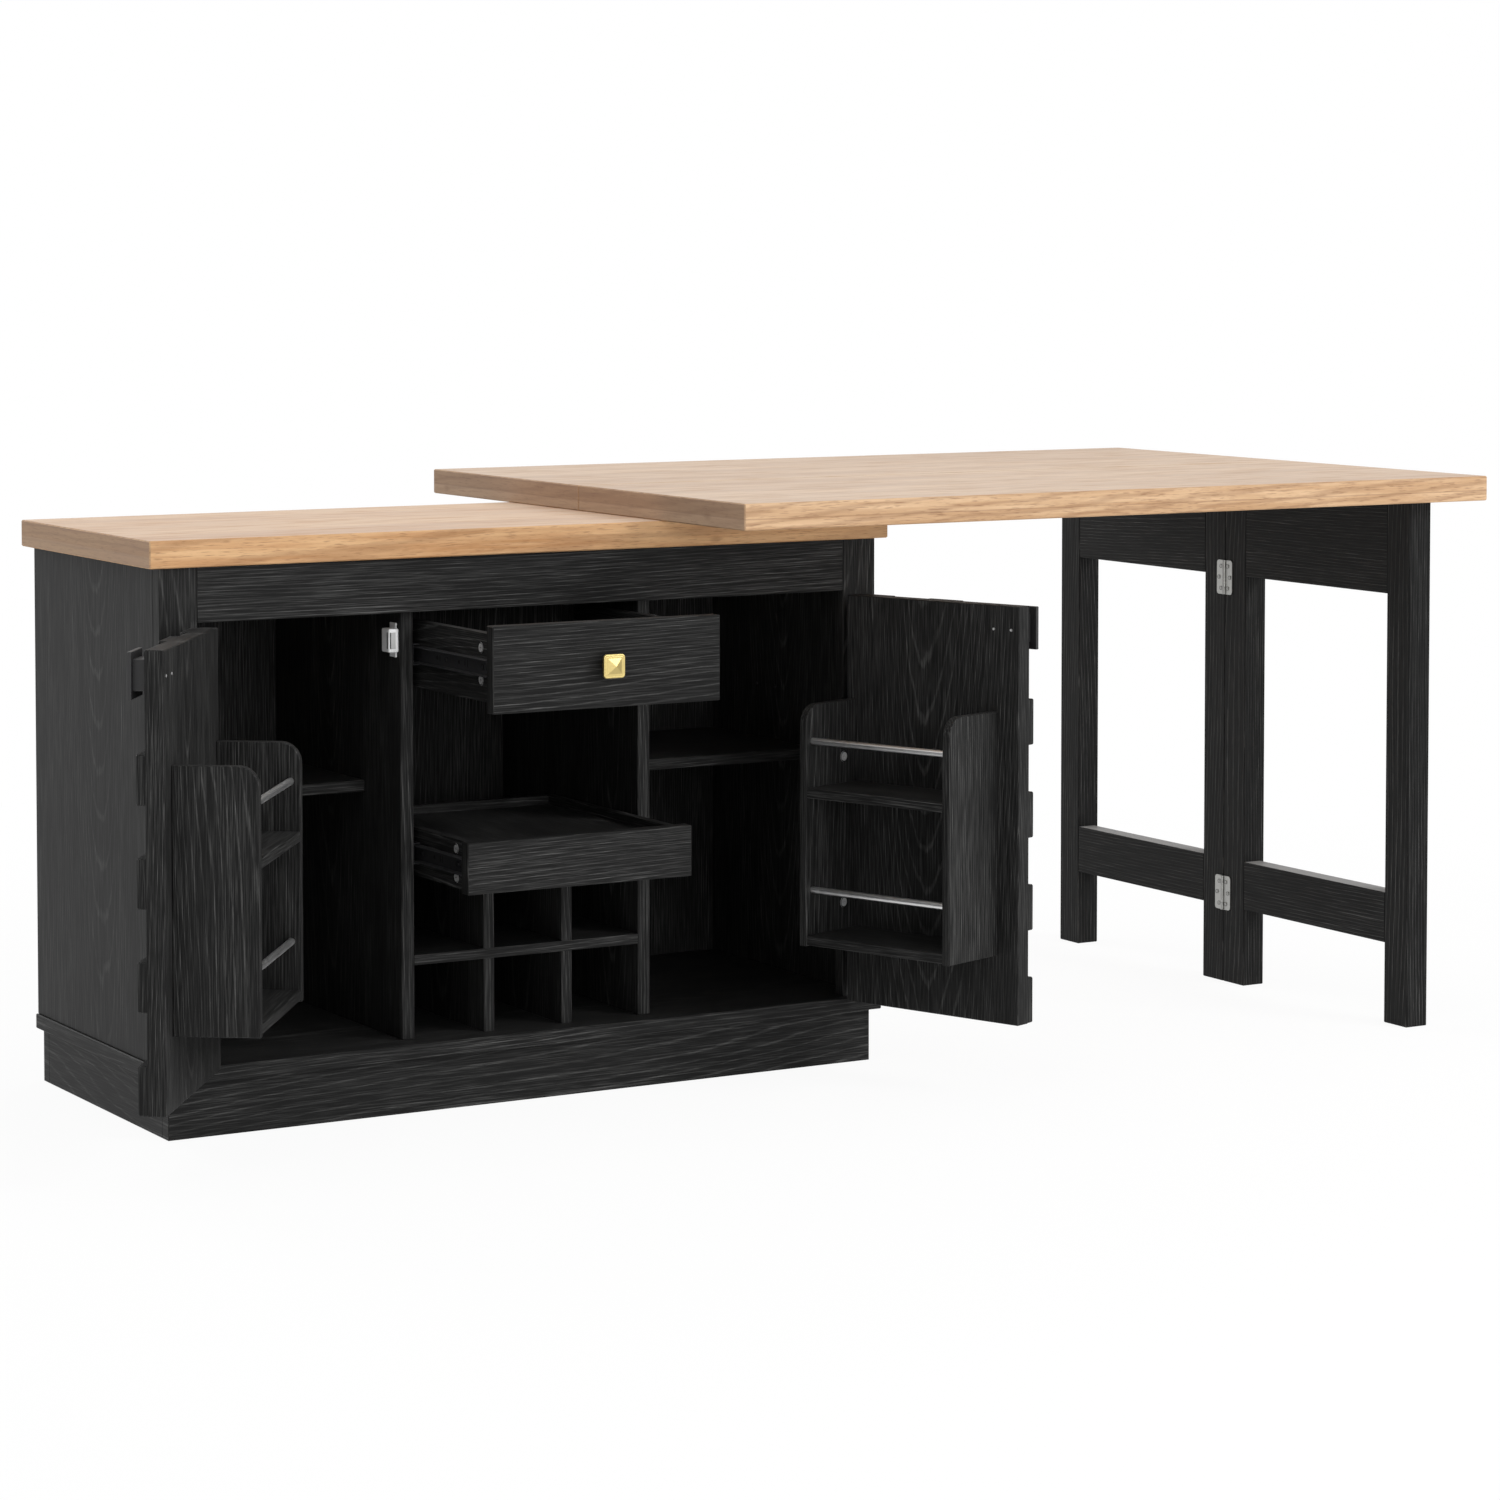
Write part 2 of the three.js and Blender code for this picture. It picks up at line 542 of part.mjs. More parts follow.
/** A channel along y: its web stands at x, and its lips reach towards the middle if `inward`. */
function channel(side, webX, lipX, y0, length, z, height) {
  const t = webX > lipX ? -RUNNER_T : RUNNER_T;
  const h = height / 2;
  const profile = [
    [lipX, -h], [webX, -h], [webX, h], [lipX, h],
    [lipX, h - RUNNER_T], [webX + t, h - RUNNER_T], [webX + t, -h + RUNNER_T], [lipX, -h + RUNNER_T],
  ];
  return extrude(outline(profile.map(([x, v]) => [z + v, side * x])), "y", y0, length);
}

function addRunners(unit, box, label, slideZ, boxY0) {
  for (const [side, name] of [[-1, "left"], [1, "right"]]) {
    const runner = channel(
      side, PARTITION_IN, PARTITION_IN - RUNNER_D, RUNNER_FRONT, BOX_D, slideZ, RUNNER_H,
    );
    place(unit, `${label}_runner_${name}`, runner, blackSteel);
    const lip = PARTITION_IN - RUNNER_T - SLIDE_PLAY;
    const slide = channel(side, BOX_HALF_W, lip, boxY0 + 0.5, BOX_D - 0.5, slideZ, SLIDE_H);
    place(box, `${label}_slide_${name}`, slide, blackSteel);
  }
}

/** A square knob with a low four-sided point, on a round neck. */
function knob(frontY) {
  const back = frontY - KNOB_NECK_H;
  const half = KNOB / 2;
  const face = roundedRect(KNOB_Z - half, KNOB_Z + half, -half, half, KNOB_CORNER_R);
  const head = extrude(face, "y", back - KNOB_RIM_T, KNOB_RIM_T, KNOB_BEVEL, 5);
  const pointR = (half - KNOB_BEVEL - 1) * Math.SQRT2;
  const point = new THREE.ConeGeometry(pointR, KNOB_POINT_H + 1, 4);
  point.rotateY(Math.PI / 4);
  point.rotateX(Math.PI / 2);
  point.translate(0, back - KNOB_RIM_T - (KNOB_POINT_H + 1) / 2 + 1, KNOB_Z);
  const neck = new THREE.CylinderGeometry(KNOB_NECK_R, KNOB_NECK_R, KNOB_NECK_H + 1, 28);
  neck.translate(0, frontY - (KNOB_NECK_H + 1) / 2, KNOB_Z);
  const foot = new THREE.CylinderGeometry(KNOB_FOOT_R, KNOB_FOOT_R, KNOB_FOOT_H, 28);
  foot.translate(0, frontY - KNOB_FOOT_H / 2, KNOB_Z);
  return join(head, point, neck, foot);
}

function addDrawer(unit) {
  const frontY = -DRAWER.out;
  const boxY0 = frontY + FRONT_T;
  const inner = BOX_HALF_W - BOX_T;
  const halfW = PARTITION_IN - DRAWER.sideGap;
  const [z0, z1] = [DRAWER_Z0, DRAWER_Z0 + DRAWER.h];
  place(unit, "drawer_front", board([-halfW, halfW], [frontY, boxY0], [z0, z1]), blackAsh);
  place(unit, "drawer_box", boxWalls(boxY0, z0 + DRAWER.up, z1 - DRAWER.down), blackAsh);
  const bottomZ0 = z0 + DRAWER.up + DRAWER_BOTTOM_UP;
  const bottomZ = [bottomZ0, bottomZ0 + DRAWER_BOTTOM_T];
  const bottom = board([-inner, inner], [boxY0, boxY0 + BOX_D - BOX_T], bottomZ, 0.5);
  place(unit, "drawer_bottom", bottom, blackAsh);
  place(unit, "drawer_knob", knob(frontY), brass);
  addRunners(unit, unit, "drawer", z0 + DRAWER.slideUp, boxY0);
}

function addTray(unit) {
  const frontY = -TRAY.out;
  const boxY0 = frontY + FRONT_T;
  const inner = BOX_HALF_W - BOX_T / 2;
  const halfW = PARTITION_IN - TRAY.sideGap;
  const [z0, z1] = [TRAY_Z0, TRAY_Z0 + TRAY.h];
  place(unit, "tray_front", board([-halfW, halfW], [frontY, boxY0], [z0, z1]), blackAsh);
  const floorY = [boxY0, boxY0 + BOX_D - BOX_T / 2];
  const floorTop = z0 + TRAY.floorUp;
  const floor = board([-inner, inner], floorY, [floorTop - TRAY_FLOOR_T, floorTop], 0.5);
  place(unit, "tray_box", join(boxWalls(boxY0, z0 + TRAY.up, z1 - TRAY.down), floor), blackAsh);
  addRunners(unit, unit, "tray", z0 + TRAY.slideUp, boxY0);
}

// ---------------------------------------------------------------- table

/** Two legs, an apron and a stretcher, flush on their inner faces. */
function addLegFrame(unit, label, y0, top) {
  const y1 = y0 + LEG_FRAME_W;
  const legX = [LEG_X0, LEG_X0 + LEG_T];
  const railX = [LEG_X0, LEG_X0 + RAIL_T];
  const railY = [y0 + LEG_W, y1 - LEG_W];
  const apronZ0 = TABLE_Z0 - APRON_H;
  const inner = label === "front" ? [y1 - LEG_W, y1] : [y0, y0 + LEG_W];
  const outer = label === "front" ? [y0, y0 + LEG_W] : [y1 - LEG_W, y1];
  place(unit, `${label}_frame_outer_leg`, board(legX, outer, [0, top]), blackAsh);
  place(unit, `${label}_frame_inner_leg`, board(legX, inner, [0, top]), blackAsh);
  place(unit, `${label}_frame_apron`, board(railX, railY, [apronZ0, top]), blackAsh);
  const stretcherZ = [STRETCHER_Z0, STRETCHER_Z0 + STRETCHER_H];
  place(unit, `${label}_frame_stretcher`, board(railX, railY, stretcherZ), blackAsh);
}

/** One leaf of a butt hinge between the leg frames; `back` carries the pin. */
function buttLeaf(z0, back) {
  const x = LEG_X0 - BUTT_R;
  const y = LEG_SEAM_Y;
  const z1 = z0 + BUTT_H;
  const side = back ? 1 : -1;
  const c = BUTT_CORNER_R * 0.3;
  const r = BUTT_CORNER_R;
  const plan = outline([
    [y, z0], [y + side * (BUTT_W - r), z0], [y + side * (BUTT_W - c), z0 + c], [y + side * BUTT_W, z0 + r],
    [y + side * BUTT_W, z1 - r], [y + side * (BUTT_W - c), z1 - c], [y + side * (BUTT_W - r), z1], [y, z1],
  ]);
  const plate = extrude(plan, "x", LEG_X0 - BUTT_T, BUTT_T);
  const spans = [...Array(BUTT_KNUCKLES).keys()];
  const own = (k) => (k % 2 === 0) === back;
  const clear = spans.filter((k) => !own(k)).map((k) => {
    const [a, b] = knuckleSpan(k, z0, BUTT_H, BUTT_KNUCKLES);
    return column(x, y, a - KNUCKLE_PLAY, b + KNUCKLE_PLAY, BUTT_R + KNUCKLE_PLAY, 24);
  });
  const knuckles = spans.filter(own).map((k) => {
    const [a, b] = knuckleSpan(k, z0, BUTT_H, BUTT_KNUCKLES);
    return column(x, y, a, b, BUTT_R, 24);
  });
  const trimmed = cut(plate, ...clear);
  if (back) return join(trimmed, ...knuckles, column(x, y, z0, z1, BUTT_PIN_R, 12));
  return cut(join(trimmed, ...knuckles), column(x, y, z0 - 1, z1 + 1, BUTT_BORE_R, 16));
}

function addTable(unit) {
  const tableX = [TABLE_X0, TABLE_X0 + TABLE_L];
  const leafZ = [TABLE_Z0, TABLE_Z1];
  const backY = [TABLE_SEAM_Y + LEAF_GAP / 2, TABLE_BACK];
  const frontY = [TABLE_FRONT, TABLE_SEAM_Y - LEAF_GAP / 2];
  place(unit, "table_leaf_back", board(tableX, backY, leafZ, TOP_ARRIS), oak);
  place(unit, "table_leaf_front", board(tableX, frontY, leafZ, TOP_ARRIS), oak);
  const backY0 = LEG_SEAM_Y + LEG_SEAM_GAP / 2;
  const frontY0 = LEG_SEAM_Y - LEG_SEAM_GAP / 2 - LEG_FRAME_W;
  addLegFrame(unit, "back", backY0, TABLE_Z0);
  addLegFrame(unit, "front", frontY0, TABLE_Z0 - LEG_TOP_PLAY);
  for (const [level, z] of Object.entries(BUTT_Z)) {
    place(unit, `back_butt_leaf_${level}`, buttLeaf(z, true), nickel);
    place(unit, `front_butt_leaf_${level}`, buttLeaf(z, false), nickel);
  }
}

// ---------------------------------------------------------------- assembly

const island = new THREE.Group();
const unit = new THREE.Group();
unit.position.y = -PLINTH_T / 2;
island.add(unit);

addCarcass(unit);
addWineRack(unit);
addDoor(unit, -1, "left", LEFT_OPEN_DEG);
addDoor(unit, 1, "right", RIGHT_OPEN_DEG);
addDrawer(unit);
addTray(unit);
addTable(unit);

export default island;
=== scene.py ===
"""Dresses the kitchen island: black ash boards, oak tops, fittings and a plain studio."""

import math

import bmesh
import bpy
from bpy.props import FloatProperty, FloatVectorProperty, PointerProperty
from mathutils import Matrix, Vector


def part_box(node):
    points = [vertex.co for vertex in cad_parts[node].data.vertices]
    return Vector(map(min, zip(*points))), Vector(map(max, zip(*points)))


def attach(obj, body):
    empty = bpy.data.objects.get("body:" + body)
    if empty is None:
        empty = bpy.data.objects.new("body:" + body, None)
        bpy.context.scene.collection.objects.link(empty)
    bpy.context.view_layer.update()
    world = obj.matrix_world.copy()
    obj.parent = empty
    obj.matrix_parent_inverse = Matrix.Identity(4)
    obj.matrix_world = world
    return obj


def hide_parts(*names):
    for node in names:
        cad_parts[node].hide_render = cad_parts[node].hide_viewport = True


bl_info = {
    "name": "Kitchen Island with Folding Table",
    "version": (1, 0, 0),
    "blender": (4, 5, 0),
    "location": "3D View > Sidebar > Island",
    "description": "Finishes a kitchen island with rack doors, a drawer and a folding oak table",
    "category": "Add Mesh",
}

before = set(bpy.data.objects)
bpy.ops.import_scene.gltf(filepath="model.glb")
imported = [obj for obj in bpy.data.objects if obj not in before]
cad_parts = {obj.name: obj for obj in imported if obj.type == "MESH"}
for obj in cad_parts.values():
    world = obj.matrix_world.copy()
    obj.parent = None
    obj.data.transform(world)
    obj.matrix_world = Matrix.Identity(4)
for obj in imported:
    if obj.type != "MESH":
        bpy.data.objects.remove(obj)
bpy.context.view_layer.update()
MM = 0.001
X, Y, Z = Vector((1, 0, 0)), Vector((0, 1, 0)), Vector((0, 0, 1))
WHITE = "#FFFFFF"

# ------------------------------------------------------------ where things are, in the part's frame

SIDES = {"left": -1, "right": 1}  # each side, and which way along X it looks
UNIT_Y = -10 * MM  # the face frame's front
OPEN_DEG = {"left": -125.75, "right": 110.0}  # how far the doors stand open
TABLE_SEAM_Y = UNIT_Y + 224.5 * MM  # where the table's two leaves meet
LOWER_SEAM_Y = -600 * MM  # in front of the lower top, which is one board
LEG_SEAM = 242.5  # where the two leg frames meet, in millimetres behind the face frame
LEG_FACE_X = 1282  # the faces of the leg frames that look at the cupboard, in millimetres
RACK_HALF_W = 123.75 * MM
RACK_BOARD = 12.3 * MM  # reaches just past the inner face of a rack's end board


def spot(x, y, z):
    """A point given in millimetres, with y counted from the face frame's front."""
    return Vector((x * MM, y * MM + UNIT_Y, z * MM))


def turned(side):
    """The matrix that carries a point of a shut door to where the door stands open."""
    pin = spot(SIDES[side] * 478.5, -13, 0)
    turn = Matrix.Rotation(math.radians(OPEN_DEG[side]), 4, "Z")
    return Matrix.Translation(pin) @ turn @ Matrix.Translation(-pin)


def upright(point, normal):
    """A place on a face with a level normal: Z looks along the normal and Y points up."""
    return Matrix.Translation(point) @ Matrix((Z.cross(normal), Z, normal)).transposed().to_4x4()


def centre_of(node):
    """The middle of a CAD node's box."""
    low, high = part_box(node)
    return (low + high) / 2


def rack_centre(side):
    """The middle of a rack, which stands turned with its door."""
    return turned(side) @ spot(SIDES[side] * 338.25, 75.3, 340)


# ------------------------------------------------------------ materials

# Sockets that share a name with others on their node, so they are called by number.
FROM_LOW, FROM_HIGH, TO_LOW, TO_HIGH = 1, 2, 3, 4  # of Map Range
VECTOR_A, VECTOR_B, VECTOR_OUT = 4, 5, 1  # of Mix, for vectors
COLOUR_A, COLOUR_B, COLOUR_OUT = 6, 7, 2  # of Mix, for colours

NOISE_MARK = 0.75  # a noise of scale 1 has marks about this many metres wide
FINE_NOISE_MARK = 0.7  # the same for a noise of more detail
RING_TURN = 0.314  # a ring wave of scale 1 comes round again after this many metres


def linear(hex_colour):
    """An sRGB hex colour as Blender's linear colour."""
    parts = [int(hex_colour[i : i + 2], 16) / 255 for i in (1, 3, 5)]
    return (*(c / 12.92 if c <= 0.04045 else ((c + 0.055) / 1.055) ** 2.4 for c in parts), 1.0)


def add(tree, kind, inputs=None, **settings):
    """Adds a node with its settings; an input takes a value or another node's socket."""
    node = tree.nodes.new(kind)
    for key, value in settings.items():
        setattr(node, key, value)
    for key, value in (inputs or {}).items():
        if isinstance(value, bpy.types.NodeSocket):
            tree.links.new(value, node.inputs[key])
        else:
            node.inputs[key].default_value = value
    return node


def new_material(name):
    """An empty material with its shader, as (material, tree, shader)."""
    material = bpy.data.materials.new(name)
    material.use_nodes = True
    tree = material.node_tree
    return material, tree, tree.nodes["Principled BSDF"]


def finish_shader(tree, shader, colour, roughness, normal):
    """Links the three patterns that every finish has."""
    tree.links.new(colour, shader.inputs["Base Color"])
    tree.links.new(roughness, shader.inputs["Roughness"])
    tree.links.new(normal, shader.inputs["Normal"])


def board_coordinates(tree, centre, grain, normal, ends_run_deep=False, core=0.0):
    """Metres along the grain, across it and into the board, so that every face shows long lines.

    Cut ends take the board's width, or its depth, as their long way. Within `core` of the middle
    the piece is a cross board, whose grain runs straight from one side board to the other.
    """
    across = normal.cross(grain)
    turn = Matrix((grain, across, normal)).transposed().to_euler()
    here = add(tree, "ShaderNodeTexCoord").outputs
    place = {"Vector": here["Object"], "Location": centre, "Rotation": turn}
    board = add(tree, "ShaderNodeMapping", place, vector_type="TEXTURE").outputs[0]
    along, side, deep = add(tree, "ShaderNodeSeparateXYZ", {0: board}).outputs
    if core:
        measured, limit, test = deep, core, "LESS_THAN"
    else:
        # a face is a cut end where it looks along the grain, to within 45 degrees
        facing = add(
            tree, "ShaderNodeVectorMath", {0: here["Normal"], 1: grain}, operation="DOT_PRODUCT"
        )
        measured, limit, test = facing.outputs["Value"], 0.7, "GREATER_THAN"
    size = add(tree, "ShaderNodeMath", {0: measured}, operation="ABSOLUTE").outputs[0]
    swap = add(tree, "ShaderNodeMath", {0: size, 1: limit}, operation=test).outputs[0]
    if ends_run_deep or core:
        swapped = {0: deep, 1: side, 2: along}
    else:
        swapped = {0: side, 1: deep, 2: along}
    other = add(tree, "ShaderNodeCombineXYZ", swapped).outputs[0]
    both = {"Factor": swap, VECTOR_A: board, VECTOR_B: other}
    return add(tree, "ShaderNodeMix", both, data_type="VECTOR").outputs[VECTOR_OUT]


def random_of(seed):
    """A repeatable number from 0 to 1 for a board."""
    return (math.sin(seed * 12.9898 + 4.1) * 43758.5453) % 1


# Black ash: board faced with black paper, pressed with an open-pored grain. The pressed pores
# catch the light as thin grey lines on near-black, and flat-sawn boards show faint arches of rings.
# Pressed pores are 0.3 mm wide, and are drawn three times as wide so that they show.
ASH_BEND = 125 * MM  # how far apart the bends of the log are
ASH_PATCH = 38.46 * MM  # how far apart the patches are where the pores catch more light
ASH_SWAY = Vector((30, 24, 30)) * MM  # how far the bends lead the rings aside, from end to end
ASH_LENGTHS = {"ring": 6.5, "fibre": 55.0}  # how many times as long as wide the patterns are
PAINTED_SHEEN_ASH = "#9A9A9A"  # painted sheen on the tops that look up, a pale grey


def black_ash(node, board, seed, looks):
    """The finish of one black board, cut from its own log."""
    material, tree, shader = new_material(f"black_ash_{node}")
    board = board_coordinates(tree, **board)
    a, b, c = random_of(seed), random_of(seed + 7.3), random_of(seed + 3.9)
    arched = node in ARCHED_BOARDS
    # some boards are drawn darker with fainter fibres; on the leg frames this is painted shade from
    # the table
    ground_share, fibre_share = DARKER_BOARDS.get(node, (1.0, 1.0))

    # the log's own bends, which open and close the arches
    drawn_out = {"Vector": board, "Location": (a, 0, 0), "Scale": (ASH_LENGTHS["ring"], 1, 1)}
    long = add(tree, "ShaderNodeMapping", drawn_out, vector_type="TEXTURE").outputs[0]
    noise = {"Vector": long, "Scale": 1 / ASH_BEND, "Detail": 1.5, "Roughness": 0.45}
    bends = add(tree, "ShaderNodeTexNoise", noise).outputs["Color"]
    sway = {0: bends, 1: ASH_SWAY, 2: -ASH_SWAY / 2}
    sway = add(tree, "ShaderNodeVectorMath", sway, operation="MULTIPLY_ADD").outputs[0]
    bent = add(tree, "ShaderNodeVectorMath", {0: long, 1: sway}, operation="ADD").outputs[0]

    # growth rings: a flat cut runs near the heart and more askew, so its rings close into arches
    if arched:
        off_heart, askew = (50 * b - 25) * MM, 13 + 8 * b
    else:
        off_heart, askew = (70 + 60 * b) * MM, 5 + 6 * c
    log = {
        "Vector": bent,
        "Location": (0, off_heart, (60 + 30 * c) * MM),
        "Rotation": (0, math.radians(askew), math.radians((c - 0.5) * 6)),
    }
    wave = {
        "Vector": add(tree, "ShaderNodeMapping", log).outputs[0],
        "Scale": RING_TURN / looks.ring_spacing,
        "Distortion": 1.8,
        "Detail": 4.0,
        "Detail Scale": 1.2,
        "Detail Roughness": 0.7,
    }
    rings = add(tree, "ShaderNodeTexWave", wave, wave_type="RINGS", rings_direction="X")
    crest = {0: rings.outputs["Fac"], FROM_LOW: 0.88, TO_HIGH: 0.55 if arched else 0.7}
    line = add(tree, "ShaderNodeMapRange", crest).outputs[0]

    # fine fibres between the rings, which also break the rings up
    drawn_out = {"Vector": board, "Location": (a, b, c), "Scale": (ASH_LENGTHS["fibre"], 1, 1)}
    noise = {
        "Vector": add(tree, "ShaderNodeMapping", drawn_out, vector_type="TEXTURE").outputs[0],
        "Scale": NOISE_MARK / looks.pore_width,
        "Detail": 2.0,
        "Roughness": 0.65,
    }
    fibres = add(tree, "ShaderNodeTexNoise", noise).outputs["Fac"]
    fibre = {0: fibres, FROM_LOW: 0.47, FROM_HIGH: 0.7}
    fibre = add(tree, "ShaderNodeMapRange", fibre).outputs[0]
    noise = {"Vector": long, "Scale": 1 / ASH_PATCH, "Detail": 2.0}
    patches = add(tree, "ShaderNodeTexNoise", noise).outputs["Fac"]
    patch = {0: patches, FROM_LOW: 0.3, FROM_HIGH: 0.7, TO_LOW: 0.35}
    patch = add(tree, "ShaderNodeMapRange", patch).outputs[0]
    broken = {0: fibre, 1: 0.6, 2: 0.3}
    broken = add(tree, "ShaderNodeMath", broken, operation="MULTIPLY_ADD").outputs[0]
    lit = add(tree, "ShaderNodeMath", {0: line, 1: broken}, operation="MULTIPLY").outputs[0]
    lit = add(tree, "ShaderNodeMath", {0: lit, 1: patch}, operation="MULTIPLY").outputs[0]
    fine = add(tree, "ShaderNodeMath", {0: fibre, 1: patch}, operation="MULTIPLY").outputs[0]
    grey = {0: fine, 1: looks.fibre_share * fibre_share, 2: lit}
    grey = add(tree, "ShaderNodeMath", grey, operation="MULTIPLY_ADD", use_clamp=True).outputs[0]

    ground = [part * ground_share for part in looks.ash_ground]
    tones = {"Factor": grey, COLOUR_A: (*ground, 1), COLOUR_B: (*looks.ash_line, 1)}
    colour = add(tree, "ShaderNodeMix", tones, data_type="RGBA").outputs[COLOUR_OUT]
    # painted sheen: faces that look up are mixed towards a pale grey
    if node in PAINTED_SHEEN_TOPS:
        normal = add(tree, "ShaderNodeTexCoord").outputs["Normal"]
        up = add(tree, "ShaderNodeSeparateXYZ", {0: normal}).outputs["Z"]
        painted_sheen = {0: up, FROM_LOW: 0.8, FROM_HIGH: 0.95, TO_HIGH: 0.9}
        painted_sheen = add(tree, "ShaderNodeMapRange", painted_sheen).outputs[0]
        tones = {"Factor": painted_sheen, COLOUR_A: colour, COLOUR_B: linear(PAINTED_SHEEN_ASH)}
        colour = add(tree, "ShaderNodeMix", tones, data_type="RGBA").outputs[COLOUR_OUT]
    rough = add(tree, "ShaderNodeMapRange", {0: grey, TO_LOW: 0.48, TO_HIGH: 0.62}).outputs[0]
    bump = {"Strength": 0.3, "Distance": 0.3 * MM, "Height": grey}
    bump = add(tree, "ShaderNodeBump", bump).outputs[0]
    finish_shader(tree, shader, colour, rough, bump)
    shader.inputs["Specular IOR Level"].default_value = 0.06
    shader.inputs["Coat Weight"].default_value = 0.03
    shader.inputs["Coat Roughness"].default_value = 0.28
    return material


# Oak: board faced with oiled-oak paper in two layers, 34.5 mm together. Soft bands run the whole
# length, short dark pores fleck the edges, and the ends are banded with a greyer, browner strip.
# The flat faces get a painted sheen that makes them paler. Oak's pores are 0.3 mm wide, and are
# drawn about four times as wide so that they show.
OAK_BAND = 76.92 * MM  # how far apart the soft bands are
OAK_RING = 10.467 * MM  # how far apart the growth rings are
OAK_PORE = 1.5625 * MM  # how far apart the pores are
OAK_DASH = 12.5 * MM  # how wide the figure's short dark dashes are
OAK_KNOT = 52.63 * MM  # how far apart the small knots are
KNOT_RIM, KNOT_HEART = 0.13, 0.03  # a knot's reach and its dark middle, as shares of that
GLUE_DROP = 3 * MM  # how far below the block's middle its two layers meet
GLUE_REACH, GLUE_LINE = 1.2 * MM, 0.4 * MM  # half the glue line's width, and of its dark middle
OAK_LENGTHS = {"band": 14, "streak": 24, "ring": 7, "pore": 14, "knot": 1.8, "dash": 8}
# the knots' own colour, and the painted sheen of the flat faces
KNOT_TONE, PAINTED_SHEEN_OAK = "#7E5632", "#ECE2DA"


